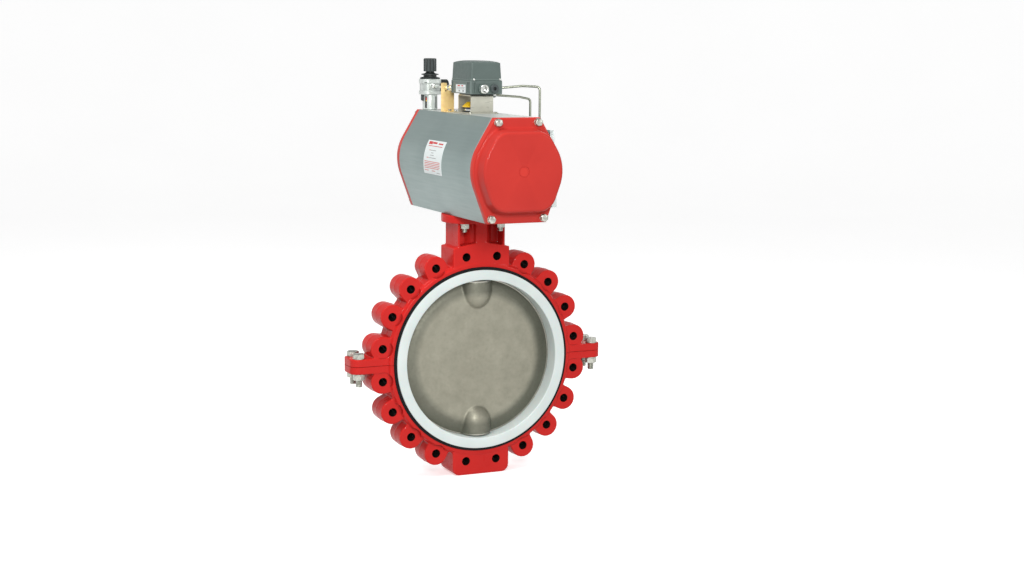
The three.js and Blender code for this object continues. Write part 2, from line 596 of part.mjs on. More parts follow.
function labelPlate() {
  const [low, high] = [-12.5, 30].map(THREE.MathUtils.degToRad);
  const outline = new THREE.Shape();
  const [inner, outer] = [ACT.r + GAP, ACT.r + 1.1];
  outline.absarc(0, ACT.z, outer, Math.PI - high, Math.PI - low, false);
  outline.absarc(0, ACT.z, inner, Math.PI - low, Math.PI - high, true);
  return prism('y', outline, -70, 75, 10);
}
add('label_plate', labelPlate(), LABEL);

// ---------------------------------------------------------------- positioner
const BRACKET = { halfX: 36, halfY: 50, thick: 3, low: 742.6, high: 797, plateX: 48, plateY: 66, footHole: 42,
  headHole: 14 };
function positionerBracket() {
  const { halfX, halfY, thick, low, high } = BRACKET;
  const frame = cut(block([-halfX, -halfY, low], [halfX, halfY, high]),
    block([-halfX - 1, -halfY + thick, low + thick], [halfX + 1, halfY - thick, high - thick]));
  const plate = block([-BRACKET.plateX, -BRACKET.plateY, low], [BRACKET.plateX, BRACKET.plateY, low + thick]);
  return cut(join(frame, plate), rod('z', BRACKET.footHole, low - 5, low + 10, [0, 0, 0], 32),
    rod('z', BRACKET.headHole, high - 10, high + 5, [0, 0, 0], 16));
}
add('positioner_bracket', positionerBracket(), STEEL);

const CONDUIT = { x: -14, z: 816.4, bore: 8.5, r: 13.3, boss: 14, bossEnd: -95, end: -106 };
function positionerBase() {
  const { halfX, front, back, bottom, split, wall } = POS;
  const shell = prism('z', rectangle(-halfX, front, halfX, back, 4), bottom, split, 3);
  const inside = rectangle(-halfX + wall, front + wall, halfX - wall, back - wall, 2);
  const pocket = prism('z', inside, bottom + wall, split + 1, 3);
  const pad = block([-34, -49, BRACKET.high + GAP], [34, 49, bottom + 1]);
  const outlet = block([38, -27, 789], [45.7, -13, bottom + 1]);
  const at = [CONDUIT.x, 0, CONDUIT.z];
  const boss = rod('y', CONDUIT.boss, CONDUIT.bossEnd, front + 2, at, 16);
  const bore = rod('y', CONDUIT.bore, CONDUIT.bossEnd - 1, front + wall + 1, at, 16);
  return cut(join(shell, pad, outlet, boss), pocket, bore, rod('z', 5.5, 790, 820, [0, 0, 0], 12));
}
add('positioner_base', positionerBase(), GREY_PLASTIC);

// The lid tapers a little to the top and is crowned along its middle.
function positionerLid() {
  const low = { halfX: 49.6, front: -82, back: 69.5 };
  const high = { halfX: 46.6, front: -79.6, back: 67.6 };
  const bottom = POS.split + GAP;
  const section = (s, grow, radius) => {
    const shape = rectangle(-s.halfX + grow, s.front + grow, s.halfX - grow, s.back - grow, radius);
    return shape.extractPoints(3).shape.map((p) => new THREE.Vector2(p.x, -p.y));
  };
  const loftZ = (first, second, from, to) => loftY(first, second, from, to).rotate([90, 0, 0]);
  const crown = { halfX: 30, front: -62, back: 50 };
  const outer = join(loftZ(section(low, 0, 4), section(high, 0, 4), bottom, POS.top),
    loftZ(section(high, 0, 4), section(crown, 0, 4), POS.top - 0.01, POS.crown));
  const hollow = loftZ(section(low, POS.wall, 2), section(high, POS.wall, 2), bottom - 1,
    POS.top - POS.wall);
  return cut(outer, hollow);
}
add('positioner_lid', positionerLid(), GREY_PLASTIC);

add('conduit_fitting', tube('y', CONDUIT.bore, CONDUIT.r, CONDUIT.end, CONDUIT.bossEnd - GAP,
  [CONDUIT.x, 0, CONDUIT.z], 16), SILVER);

function positionIndicator() {
  const bore = JOURNAL.top + GAP;
  const cone = revolve('z', [[bore, 754.4], [30, 754.4], [30, 760], [40, 760], [40, 763], [26, 776],
    [bore, 776], [bore, 754.4]], 24);
  const cheek = (side) => block([-45, side > 0 ? 16 : -45, 763], [45, side > 0 ? 45 : -16, 780]);
  return cut(cone, cheek(1), cheek(-1));
}
add('position_indicator', positionIndicator(), YELLOW);

function feedbackShaft() {
  return join(rod('z', 4.5, 768.4, 812, [0, 0, 0], 12), block([-12, -3, 769], [12, 3, 775]));
}
add('feedback_shaft', feedbackShaft(), STEEL);

// ---------------------------------------------------------------- air tubes
// A tube along straight runs whose corners are rounded to the bend radius.
function pipeRun(points, radius, bend, steps) {
  const route = points.map((p) => new THREE.Vector3(...p));
  const path = new THREE.CurvePath();
  let from = route[0];
  for (let i = 1; i < route.length - 1; i++) {
    const corner = route[i];
    const before = route[i - 1].clone().sub(corner).setLength(bend).add(corner);
    const after = route[i + 1].clone().sub(corner).setLength(bend).add(corner);
    path.add(new THREE.LineCurve3(from, before));
    path.add(new THREE.QuadraticBezierCurve3(before, corner, after));
    from = after;
  }
  path.add(new THREE.LineCurve3(from, route[route.length - 1]));
  const section = new THREE.Shape();
  section.absarc(0, 0, radius, 0, 2 * Math.PI, false);
  return solid(new THREE.ExtrudeGeometry(section,
    { steps, extrudePath: path, curveSegments: 3, bevelEnabled: false }));
}

const TUBE = { r: 3.6, bend: 12, steps: 28, drop: 170 };
// Down the side of the actuator and into the port block.
const tubeDrop = (y) => [[TUBE.drop, y, PORTS.z], [PORTS.x + GAP, y, PORTS.z]];
const upperRoute = [[POS.halfX + GAP, -35, 818], [67, -35, 818], [125, -64, 824],
  [TUBE.drop, PORTS.upperY, 822], ...tubeDrop(PORTS.upperY)];
const lowerRoute = [[46, -20, 795.8], [60, -20, 795.8], [135, -20, 790],
  [TUBE.drop, PORTS.lowerY, 783], ...tubeDrop(PORTS.lowerY)];
add('air_tube_upper', pipeRun(upperRoute, TUBE.r, TUBE.bend, TUBE.steps), STEEL);
add('air_tube_lower', pipeRun(lowerRoute, TUBE.r, TUBE.bend, TUBE.steps), STEEL);

// ---------------------------------------------------------------- filter regulator
const regulatorAt = [REG.x, REG.y, 0];

function regulatorBody() {
  const square = (grow, radius) => rectangle(REG.x - REG.half + grow, REG.y - REG.half + grow,
    REG.x + REG.half - grow, REG.y + REG.half - grow, radius);
  return join(prism('z', square(2.5, 16), 789.6, 837.6, 3), prism('z', square(0, 18), 824, 837.6, 3),
    prism('z', square(0, 18), 789.6, 801, 3));
}
add('regulator_body', regulatorBody(), SILVER);

const SCREW_R = 8;
const bonnetProfile = [[SCREW_R + RUN, 838], [31.3, 838], [31.3, 841], [28, 843.5], [20.5, 844.5],
  [20.5, 850], [27, 850.5], [27, 853.5], [18.5, 855],
  [13, 858], [13, 863], [SCREW_R + RUN, 863], [SCREW_R + RUN, 838]];
add('regulator_bonnet', revolve('z', bonnetProfile, 20, regulatorAt), BLACK_PLASTIC);
add('adjusting_screw', rod('z', SCREW_R, 838.4, 889, regulatorAt, 20), STEEL);

function regulatorKnob() {
  const flutes = 10;
  const outline = polygon(Array.from({ length: flutes * 3 }, (_, i) => {
    const angle = i / (flutes * 3) * 2 * Math.PI;
    const r = i % 3 === 0 ? 18.9 : 20.2;
    return [REG.x + r * Math.cos(angle), REG.y + r * Math.sin(angle)];
  }));
  const skirt = { low: 861, hole: 14.5, depth: 868 };
  return cut(prism('z', outline, skirt.low, 901.8), rod('z', SCREW_R + GAP, 860, 893, regulatorAt, 20),
    rod('z', skirt.hole, 860, skirt.depth, regulatorAt, 20));
}
add('regulator_knob', regulatorKnob(), BLACK_PLASTIC);

const BOWL = { r: 23.3, wall: 3, low: 743, high: 789.3, floor: 9, slotWidth: 8, slotLow: 753, slotHigh: 784 };
function filterBowl() {
  const { r, wall, low, high, floor } = BOWL;
  const bowl = revolve('z', [[0, low], [r - 1, low], [r, low + 1], [r, high], [r - wall, high],
    [r - wall, low + floor], [0, low + floor]], 20, regulatorAt);
  const slots = [35, 125, 215, 305].map((degrees) => {
    const slot = new THREE.BoxGeometry(30, BOWL.slotWidth, BOWL.slotHigh - BOWL.slotLow);
    slot.translate(15, 0, (BOWL.slotHigh + BOWL.slotLow) / 2);
    slot.rotateZ(THREE.MathUtils.degToRad(degrees));
    slot.translate(REG.x, REG.y, 0);
    return solid(slot);
  });
  return cut(bowl, ...slots);
}
add('filter_bowl', filterBowl(), SILVER);
add('bowl_latch', block([-72, REG.y - 6, 770], [-66.7, REG.y + 6, 789.2]), BLACK_PLASTIC);

add('pressure_gauge', revolve('x', [[0, -11.7], [5, -11.7], [5, -8], [18, -8], [20, -6], [20, 12], [18.5, 14],
  [0, 14]], 24, [0, REG.y, REG.port]), BLACK_PLASTIC);

const nippleEnds = [POS.back + GAP, REG.y - REG.half + 2.5 - GAP];
add('supply_nipple', join(rod('y', 5.5, ...nippleEnds, [REG.x, 0, REG.port], 16),
  prism('y', hexagon(14, REG.x, REG.port), 78, 112)), SILVER);

function regulatorBracket() {
  const outline = polygon([[-71.5, 742.6], [-29.4, 742.6], [-29.4, 807.5], [-52.8, 807.5], [-52.8, 830],
    [-71.5, 830]]);
  const plate = prism('y', outline, 100, 103);
  return join(plate, block([-71.5, 70, 742.6], [-29.4, 102, 745.6]));
}
add('regulator_bracket', regulatorBracket(), GILT);

export default root;
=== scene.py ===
import math

import bmesh
import bpy
import numpy as np
from mathutils import Matrix, Vector


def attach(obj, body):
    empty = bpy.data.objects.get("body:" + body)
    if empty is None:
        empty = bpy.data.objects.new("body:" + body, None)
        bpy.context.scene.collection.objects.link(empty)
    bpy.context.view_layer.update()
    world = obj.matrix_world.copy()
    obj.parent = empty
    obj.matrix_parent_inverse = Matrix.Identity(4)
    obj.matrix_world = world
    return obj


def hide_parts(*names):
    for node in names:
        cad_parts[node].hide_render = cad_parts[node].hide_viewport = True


# Butterfly valve with a pneumatic actuator. Shapes are drawn in millimetres in the frame's own axes and
# scaled to metres when their mesh is made: +Z up the stem, +Y along the pipe, origin in the bore's centre.
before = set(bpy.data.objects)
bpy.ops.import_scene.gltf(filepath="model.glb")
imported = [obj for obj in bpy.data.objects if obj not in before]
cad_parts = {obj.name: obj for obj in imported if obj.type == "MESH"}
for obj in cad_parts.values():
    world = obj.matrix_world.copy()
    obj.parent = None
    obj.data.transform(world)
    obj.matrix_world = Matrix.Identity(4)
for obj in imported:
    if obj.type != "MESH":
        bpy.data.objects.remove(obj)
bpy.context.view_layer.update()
MM = 0.001
ROOT = "valve_body"
TAU = 2 * math.pi

BOLT_CIRCLE_R = 317.5
BOLT_ANGLES = [(i + 0.5) * TAU / 20 for i in range(20)]
LUG_R, LUG_FACE = 37.5, 44.5
THREAD = {"minor": 13.2, "major": 14.4, "pitch": 3.175}
SLEEVE_R, SPOT_R = 14.6, 29.5
LUG_ANGLES = [a for a in BOLT_ANGLES if abs(math.cos(a)) < 0.98]
NECK_X = 91.2
BORE_R, LINER_R, RUBBER_R = 243.0, 273.8, 282.2
CASTING_Y = 53.4
DISC_R, STEM_R, HUB_R = 242.6, 26.0, 50.0
RING_SIDES = 256
QUARTERS = {f"{side}_{end}": (x, y) for side, x in (("left", -1), ("right", 1))
            for end, y in (("front", -1), ("rear", 1))}
EAR_POINTS = {name: (x * 383.0, y * 27.0) for name, (x, y) in QUARTERS.items()}
MOUNT_POINTS = {name: (x * 58.3, y * 58.3) for name, (x, y) in QUARTERS.items()}
EAR_BOLT_R, MOUNT_STUD_R = 9.8, 7.8
SPLIT = 0.7
ACT_Z, ACT_R, ACT_HALF = 591.0, 138.0, 291.0
CYLINDER_BORE, CAP_POCKET = 124.0, 104.0
ACT_TOP, ACT_TOP_HALF = 151.2, 70.7
ACT_LOW, ACT_LOW_HALF = -150.7, 92.0
CAP_START, CAP_FACE, CAP_END = 291.4, 313.4, 360.0
CAP_BOLTS = {"top_right": (62, 729), "top_left": (-62, 729), "bottom_right": (82, 454.5),
             "bottom_left": (-82, 454.5)}
FOOT_Z, FOOT_TOP = 742.6, 745.6
CONDUIT = (-14.0, 0, 816.4)
REG_X, REG_Y, PORT_Z = -43.0, 269.0, 816.5
AT_REG, AT_PORTS, AT_NIPPLE = (REG_X, REG_Y, 0), (REG_X, REG_Y, PORT_Z), (REG_X, 0, PORT_Z)
FLOOR_Z = -357.1


# ---------------------------------------------------------------- flat outlines, in millimetres
def rounded(points, radii, steps=6, closed=True):
    """The points with each corner turned into an arc of its radius."""
    count = len(points)
    radii = [radii] * count if np.isscalar(radii) else radii
    out = []
    for i, point in enumerate(points):
        if radii[i] <= 0 or (not closed and i in (0, count - 1)):
            out.append(tuple(point))
            continue
        corner = np.array(point, float)
        before = np.array(points[i - 1], float) - corner
        after = np.array(points[(i + 1) % count], float) - corner
        lengths = np.linalg.norm(before), np.linalg.norm(after)
        before, after = before / lengths[0], after / lengths[1]
        half = math.acos(max(-1, min(1, before @ after))) / 2
        if half > math.pi / 2 - 1e-3:
            out += [tuple(point)] * (steps + 1)
            continue
        reach = min(radii[i] / math.tan(half), 0.49 * min(lengths))
        radius = reach * math.tan(half)
        middle = (before + after) / np.linalg.norm(before + after)
        centre = corner + middle * radius / math.sin(half)
        start = corner + before * reach - centre
        end = corner + after * reach - centre
        first = math.atan2(start[1], start[0])
        turn = (math.atan2(end[1], end[0]) - first + math.pi) % TAU - math.pi
        for k in range(steps + 1):
            angle = first + turn * k / steps
            out.append((centre[0] + radius * math.cos(angle), centre[1] + radius * math.sin(angle)))
    return out


def circle(radius, sides, centre=(0, 0)):
    return [(centre[0] + radius * math.cos(TAU * i / sides), centre[1] + radius * math.sin(TAU * i / sides))
            for i in range(sides)]


def rectangle(x0, y0, x1, y1, radius, steps=6):
    return rounded([(x0, y0), (x1, y0), (x1, y1), (x0, y1)], radius, steps)


def actuator_outline(inset, top, low, radii, arc_steps=24, corner_steps=5):
    """Cross-section of the actuator: a circle whose tangents run to a flat top and a wider flat foot."""
    def tangent(x, z):
        return math.atan2(z, x) - math.copysign(math.acos(ACT_R / math.hypot(x, z)), z)
    upper, lower = tangent(ACT_TOP_HALF, ACT_TOP), tangent(ACT_LOW_HALF, ACT_LOW)
    radius = ACT_R - inset

    def on_tangent(angle, z):
        return ((radius - z * math.sin(angle)) / math.cos(angle), z)
    arc = [lower + (upper - lower) * i / arc_steps for i in range(arc_steps + 1)]
    right = [on_tangent(lower, low)] + [(radius * math.cos(a), radius * math.sin(a)) for a in arc]
    right.append(on_tangent(upper, top))
    both = right + [(-x, z) for x, z in reversed(right)]
    corner = {top: radii[0], low: radii[1]}
    return [(x, z + ACT_Z) for x, z in rounded(both, [corner.get(z, 0) for _, z in both], corner_steps)]


# ---------------------------------------------------------------- solids as (vertices, faces), in millimetres
AXIS_ORDER = {"x": (2, 0, 1), "y": (0, 2, 1), "z": (0, 1, 2)}


def in_axis(points, heights, axis):
    """Flat points at heights along an axis: (y, z) points across x, (x, z) across y and (x, y) across z."""
    flat = np.array(points, float)
    full = np.column_stack([flat, np.broadcast_to(heights, len(flat))])
    return full[:, AXIS_ORDER[axis]]


def skin(rings, closed=False):
    """Quads between rings of points, with a flat face or a tip at each end, or closed on itself."""
    vertices, starts, sizes = [], [], []
    for ring in rings:
        starts.append(len(vertices))
        sizes.append(len(ring))
        vertices.extend(map(tuple, ring))
    faces = []
    pairs = [(i, i + 1) for i in range(len(rings) - 1)] + ([(len(rings) - 1, 0)] if closed else [])
    for a, b in pairs:
        count = max(sizes[a], sizes[b])
        for k in range(count):
            nxt = (k + 1) % count
            low = [starts[a] + k, starts[a] + nxt] if sizes[a] > 1 else [starts[a]]
            high = [starts[b] + nxt, starts[b] + k] if sizes[b] > 1 else [starts[b]]
            faces.append(tuple(low + high))
    if not closed:
        for end in (0, len(rings) - 1):
            if sizes[end] > 1:
                faces.append(tuple(range(starts[end], starts[end] + sizes[end])))
    return np.array(vertices, float), faces


def prism(axis, outline, low, high, edge=0.0, steps=3):
    """An outline pushed along an axis, its two rims rounded by edge."""
    if edge <= 0:
        return skin([in_axis(outline, low, axis), in_axis(outline, high, axis)])
    centre_free = inset_outline(outline)
    rings = []
    for k in range(steps + 1):
        turn = math.pi / 2 * k / steps
        rings.append((edge * (1 - math.sin(turn)), low + edge * (1 - math.cos(turn))))
    rings += [(inset, low + high - height) for inset, height in reversed(rings)]
    return skin([in_axis(centre_free(inset), height, axis) for inset, height in rings])


def inset_outline(outline):
    """A function that gives the outline moved inward by a small distance along its corner normals."""
    points = np.array(outline, float)
    ahead = np.roll(points, -1, 0) - points
    area = 0.5 * np.sum(points[:, 0] * np.roll(points[:, 1], -1) - np.roll(points[:, 0], -1) * points[:, 1])
    lengths = np.maximum(np.linalg.norm(ahead, axis=1), 1e-9)[:, None]
    normal = np.column_stack([-ahead[:, 1], ahead[:, 0]]) / lengths * np.sign(area)
    back = np.roll(normal, 1, 0)
    both = normal + back
    both /= np.maximum(np.linalg.norm(both, axis=1), 1e-6)[:, None]
    slant = np.maximum(np.sum(both * normal, axis=1), 0.5)[:, None]
    return lambda distance: points + both / slant * distance


def lathe(axis, profile, sides=96, place=(0, 0, 0), closed=False):
    """(radius, height) points turned about an axis through place."""
    rings = []
    for radius, height in profile:
        ring = circle(radius, sides) if radius > 1e-6 else [(0, 0)]
        rings.append(in_axis(ring, height, axis) + np.array(place, float))
    return skin(rings, closed)


def rod(axis, radius, low, high, place=(0, 0, 0), sides=48, edge=0.0):
    profile = [(0, low), (radius, low), (radius, high), (0, high)]
    return lathe(axis, rounded(profile, [0, edge, edge, 0], 3, closed=False), sides, place)


def tube(axis, inner, outer, low, high, place=(0, 0, 0), sides=64, edge=0.4):
    profile = rounded([(inner, low), (outer, low), (outer, high), (inner, high)], edge, 2)
    return lathe(axis, profile, sides, place, closed=True)


def thread(axis, crest, depth, pitch, low, high, place=(0, 0, 0), sides=24, chamfer=1.0):
    """A screw thread: a rod whose radius waves along a helix, drawn in at both ends."""
    rows = max(4, int(round((high - low) / pitch * 4)))
    rings = [in_axis([(0, 0)], low, axis)]
    for row in range(rows + 1):
        height = low + (high - low) * row / rows
        near_end = max(0.0, 1 - min(height - low, high - height) / max(chamfer, 1e-6)) if chamfer else 0.0
        ring = []
        for k in range(sides):
            phase = (height / pitch - k / sides) % 1.0
            cut = depth * max(abs(2 * phase - 1), near_end)
            angle = TAU * k / sides
            ring.append(((crest - cut) * math.cos(angle), (crest - cut) * math.sin(angle)))
        rings.append(in_axis(ring, height, axis))
    rings.append(in_axis([(0, 0)], high, axis))
    return skin([ring + np.array(place, float) for ring in rings])


def hexagon(axis, flats, low, high, place=(0, 0, 0), hole=0.0, chamfer_low=False, chamfer_high=True, turn=0.0,
            sides=72):
    """A hexagon whose corners are turned off at 30 degrees, as on a bolt head or nut."""
    land = flats / 2 * 0.97
    angles = [TAU * k / sides + 1e-4 for k in range(sides)]
    radii = [flats / 2 / math.cos((a - turn) % (TAU / 6) - TAU / 12) for a in angles]

    def ring(radius_of, height_of):
        flat = [(r * math.cos(a), r * math.sin(a)) for r, a in zip(radius_of, angles)]
        heights = np.array(height_of, float)
        return in_axis(flat, 0, axis) + in_axis(np.zeros((sides, 2)), heights, axis) + np.array(place, float)
    slope = math.tan(math.radians(30))
    drop = [max(0.0, r - land) * slope for r in radii]

    def level(radius, height):
        return ring([radius] * sides, [height] * sides)
    rings = [ring(radii, [low + d for d in drop] if chamfer_low else [low] * sides),
             ring(radii, [high - d for d in drop] if chamfer_high else [high] * sides)]
    if chamfer_low:
        rings.insert(0, level(land, low))
    if chamfer_high:
        rings.append(level(land, high))
    if hole:
        rings = [level(hole, low), *rings, level(hole, high)]
    return skin(rings, closed=hole > 0)


def sweep(points, radius, bend, sides=20, step=3.0):
    """A round bar along straight runs whose corners are bent to an arc."""
    route = [np.array(p, float) for p in points]
    path = [route[0]]
    for i in range(1, len(route) - 1):
        before, after = route[i - 1] - route[i], route[i + 1] - route[i]
        before, after = before / np.linalg.norm(before), after / np.linalg.norm(after)
        half = math.acos(max(-1, min(1, before @ after))) / 2
        reach = min(bend / math.tan(half), 0.45 * min(np.linalg.norm(route[i - 1] - route[i]),
                                                       np.linalg.norm(route[i + 1] - route[i])))
        start, end = route[i] + before * reach, route[i] + after * reach
        count = max(3, int(math.degrees(math.pi - 2 * half) / 9))
        for k in range(count + 1):
            t = k / count
            path.append((1 - t) ** 2 * start + 2 * t * (1 - t) * route[i] + t ** 2 * end)
    path.append(route[-1])
    last = len(path) - 1
    tangents = [path[min(i + 1, last)] - path[max(i - 1, 0)] for i in range(last + 1)]
    tangents = [t / np.linalg.norm(t) for t in tangents]
    side = np.cross(tangents[0], (0.0, 0.0, 1.0))
    if np.linalg.norm(side) < 0.1:
        side = np.cross(tangents[0], (0.0, 1.0, 0.0))
    rings = []
    for centre, tangent in zip(path, tangents):
        side = side - tangent * (side @ tangent)
        side = side / np.linalg.norm(side)
        up = np.cross(tangent, side)
        rings.append(np.array([centre + radius * (math.cos(a) * side + math.sin(a) * up)
                               for a in (TAU * k / sides for k in range(sides))]))
    return skin(rings)


def block(low, high, edge=0.0):
    outline = rectangle(low[0], low[1], high[0], high[1], max(edge, 0.02), 3)
    return prism("z", outline, low[2], high[2], edge)


def moved(shape, matrix):
    vertices, faces = shape
    full = np.column_stack([vertices, np.ones(len(vertices))])
    return (full @ np.array(matrix).T)[:, :3], faces


def turned(shape, axis, degrees, place=(0, 0, 0)):
    return moved(shape, Matrix.Translation(place) @ Matrix.Rotation(math.radians(degrees), 4, axis))


def mirrored(shape, axis):
    sign = {"X": (-1, 1, 1), "Y": (1, -1, 1), "Z": (1, 1, -1)}[axis]
    return moved(shape, Matrix.Diagonal((*sign, 1)))


def merged(*shapes):
    vertices, faces, start = [], [], 0
    for points, polygons in shapes:
        vertices.append(points)
        faces += [tuple(i + start for i in polygon) for polygon in polygons]
        start += len(points)
    return np.vstack(vertices), faces


# ---------------------------------------------------------------- Blender objects
def make_object(name, shape):
    vertices, faces = shape
    mesh = bpy.data.meshes.new(name)
    mesh.from_pydata([tuple(v) for v in vertices * MM], [], faces)
    edit = bmesh.new()
    edit.from_mesh(mesh)
    bmesh.ops.remove_doubles(edit, verts=edit.verts, dist=1e-6)
    bmesh.ops.recalc_face_normals(edit, faces=edit.faces)
    edit.to_mesh(mesh)
    edit.free()
    obj = bpy.data.objects.new(name, mesh)
    bpy.context.scene.collection.objects.link(obj)
    return obj


def bake_modifiers(obj):
    graph = bpy.context.evaluated_depsgraph_get()
    graph.update()
    mesh = bpy.data.meshes.new_from_object(obj.evaluated_get(graph))
    old = obj.data
    obj.modifiers.clear()
    obj.data = mesh
    bpy.data.meshes.remove(old)
    return obj


def cast(obj, voxel, passes):
    """Fuses the overlapping solids in obj into one skin, and melts its edges as in a casting."""
    remesh = obj.modifiers.new("fuse", "REMESH")
    remesh.mode = "VOXEL"
    remesh.voxel_size = voxel * MM * 1
    smooth = obj.modifiers.new("melt", "SMOOTH")
    smooth.factor = 0.5
    smooth.iterations = max(1, passes // (1))
    return bake_modifiers(obj)


def carve(obj, *shapes, operation="DIFFERENCE"):
    for shape in shapes:
        tool = make_object("tool", shape)
        boolean = obj.modifiers.new("carve", "BOOLEAN")
        boolean.operation = operation
        boolean.solver = "MANIFOLD"
        boolean.object = tool
        bake_modifiers(obj)
        bpy.data.objects.remove(tool)
    return obj


def finish_piece(obj, body, material, replaces=(), sharp=35):
    obj.data.materials.clear()
    obj.data.materials.append(material)
    obj.data.shade_smooth()
    obj.data.set_sharp_from_angle(angle=math.radians(sharp))
    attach(obj, body)
    if replaces:
        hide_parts(*([replaces] if isinstance(replaces, str) else replaces))


def piece(name, shape, body, material, replaces=(), sharp=35):
    finish_piece(make_object(name, shape), body, material, replaces, sharp)


# ---------------------------------------------------------------- materials
def srgb(red, green, blue):
    def linear(value):
        value /= 255
        return value / 12.92 if value <= 0.04045 else ((value + 0.055) / 1.055) ** 2.4
    return (linear(red), linear(green), linear(blue), 1.0)


class Look:
    """A Principled material and the procedural nodes that feed it. Sizes are in millimetres."""

    def __init__(self, name, **sockets):
        self.material = bpy.data.materials.new(name)
        self.material.use_nodes = True
        tree = self.material.node_tree
        self.nodes, self.links = tree.nodes, tree.links
        self.shader = self.nodes["Principled BSDF"]
        for socket, value in sockets.items():
            self.shader.inputs[socket.replace("_", " ")].default_value = value
        self.coords = self.nodes.new("ShaderNodeTexCoord").outputs["Object"]
        self.normal = None

    def add(self, kind, inputs=None, **settings):
        node = self.nodes.new("ShaderNode" + kind)
        for key, value in settings.items():
            setattr(node, key, value)
        for key, value in (inputs or {}).items():
            if isinstance(value, bpy.types.NodeSocket):
                self.links.new(value, node.inputs[key])
            else:
                node.inputs[key].default_value = value
        return node

    def noise(self, size, detail=3.0, stretch=(1, 1, 1), roughness=0.5, distortion=0.0):
        scaled = self.add("Mapping", {"Vector": self.coords, "Scale": tuple(1 / s for s in stretch)})
        node = self.add("TexNoise", {"Vector": scaled.outputs[0], "Scale": 1 / (size * MM), "Detail": detail,
                                     "Roughness": roughness, "Distortion": distortion})
        return node.outputs["Fac"]

    def cells(self, size):
        node = self.add("TexVoronoi", {"Vector": self.coords, "Scale": 1 / (size * MM)}, feature="F1")
        return node.outputs["Distance"]

    def rings(self, pitch, axis):
        inputs = {"Vector": self.coords, "Scale": 0.05 / (pitch * MM) * TAU, "Distortion": 0.0, "Detail": 1.0}
        node = self.add("TexWave", inputs, wave_type="RINGS", rings_direction=axis)
        return node.outputs["Fac"]

    def spread(self, value, low, high, to_low=0.0, to_high=1.0):
        node = self.add("MapRange", {"Value": value, "From Min": low, "From Max": high, "To Min": to_low,
                                     "To Max": to_high})
        return node.outputs["Result"]

    def mix(self, factor, first, second):
        node = self.add("Mix", data_type="RGBA")
        for index, value in ((0, factor), (6, first), (7, second)):
            if isinstance(value, bpy.types.NodeSocket):
                self.links.new(value, node.inputs[index])
            else:
                node.inputs[index].default_value = value
        return node.outputs[2]

    def pointiness(self, low, high, most):
        """From none to most, as the surface's pointiness goes from low to high."""
        return self.spread(self.add("NewGeometry").outputs["Pointiness"], low, high, 0.0, most)

    def facing_up(self, low, high):
        split = self.add("SeparateXYZ", {"Vector": self.add("NewGeometry").outputs["True Normal"]})
        return self.spread(split.outputs["Z"], low, high)

    def from_bore(self, low, high, most):
        flat = self.add("VectorMath", {0: self.coords, 1: (1, 0, 1)}, operation="MULTIPLY")
        length = self.add("VectorMath", {0: flat.outputs[0]}, operation="LENGTH")
        return self.spread(length.outputs["Value"], low * MM, high * MM, 0.0, most)

    def colour(self, socket):
        self.links.new(socket, self.shader.inputs["Base Color"])

    def worn(self, size, low, high, detail=3.0, stretch=(1, 1, 1)):
        """Roughness that wanders between two values."""
        roughness = self.spread(self.noise(size, detail, stretch), 0.3, 0.7, low, high)
        self.links.new(roughness, self.shader.inputs["Roughness"])

    def grain(self, size, depth, strength, detail=2.0, stretch=(1, 1, 1)):
        """Noise raised by a depth in millimetres."""
        self.bump(self.noise(size, detail, stretch), depth, strength)

    def bump(self, height, depth, strength=1.0):
        inputs = {"Height": height, "Distance": depth * MM, "Strength": strength}
        if self.normal is not None:
            inputs["Normal"] = self.normal
        self.normal = self.add("Bump", inputs).outputs["Normal"]
        self.links.new(self.normal, self.shader.inputs["Normal"])


def two_tone(look, low, high, patch, fine, contrast=0.35):
    """A base colour that wanders between two shades in patches, with a finer speckle on top."""
    wide = look.spread(look.noise(patch, 4.0), 0.5 - contrast, 0.5 + contrast)
    speckle = look.spread(look.noise(fine, 2.0), 0.3, 0.7, 0.0, 0.35)
    middle = tuple((a + b) / 2 for a, b in zip(low, high))
    return look.mix(speckle, look.mix(wide, low, high), middle)


def red_paint():
    look = Look("red_paint", Coat_Weight=0.12, Coat_Roughness=0.04, Specular_IOR_Level=0.06)
    base = two_tone(look, srgb(188, 34, 31), srgb(209, 42, 38), 90, 2.6)
    # lighter red along convex edges: a painted highlight on the edges, with a little wear
    worn = look.pointiness(0.52, 0.60, 0.42)
    base = look.mix(worn, base, srgb(224, 62, 50))
    # painted shade: darker red in hollows and creases, where shade falls
    painted_crevice_shade = look.pointiness(0.49, 0.43, 0.6)
    base = look.mix(painted_crevice_shade, base, srgb(96, 10, 10))
    look.colour(base)
    look.worn(24, 0.26, 0.44)
    look.grain(3.2, 0.28, 0.7, detail=3.0)
    look.grain(17, 1.1, 0.55)
    return look.material


def smooth_red():
    look = Look("red_paint_smooth", Coat_Weight=0.12, Coat_Roughness=0.05, Specular_IOR_Level=0.06)
    base = two_tone(look, srgb(178, 48, 42), srgb(196, 56, 49), 120, 3.5)
    # lighter red along convex edges: a painted highlight on the edges, with a little wear
    worn = look.pointiness(0.515, 0.56, 0.35)
    look.colour(look.mix(worn, base, srgb(228, 70, 58)))
    look.worn(30, 0.30, 0.42)
    look.grain(2.4, 0.10, 0.6)
    look.grain(26, 0.5, 0.4)
    return look.material


def white_ptfe():
    look = Look("white_ptfe", Subsurface_Weight=0.08, Subsurface_Scale=0.004, Specular_IOR_Level=0.4)
    look.colour(two_tone(look, srgb(204, 215, 212), srgb(223, 230, 227), 60, 3))
    look.worn(14, 0.30, 0.46)
    look.bump(look.rings(0.9, "Y"), 0.05, 0.35)
    look.grain(40, 0.5, 0.3)
    return look.material


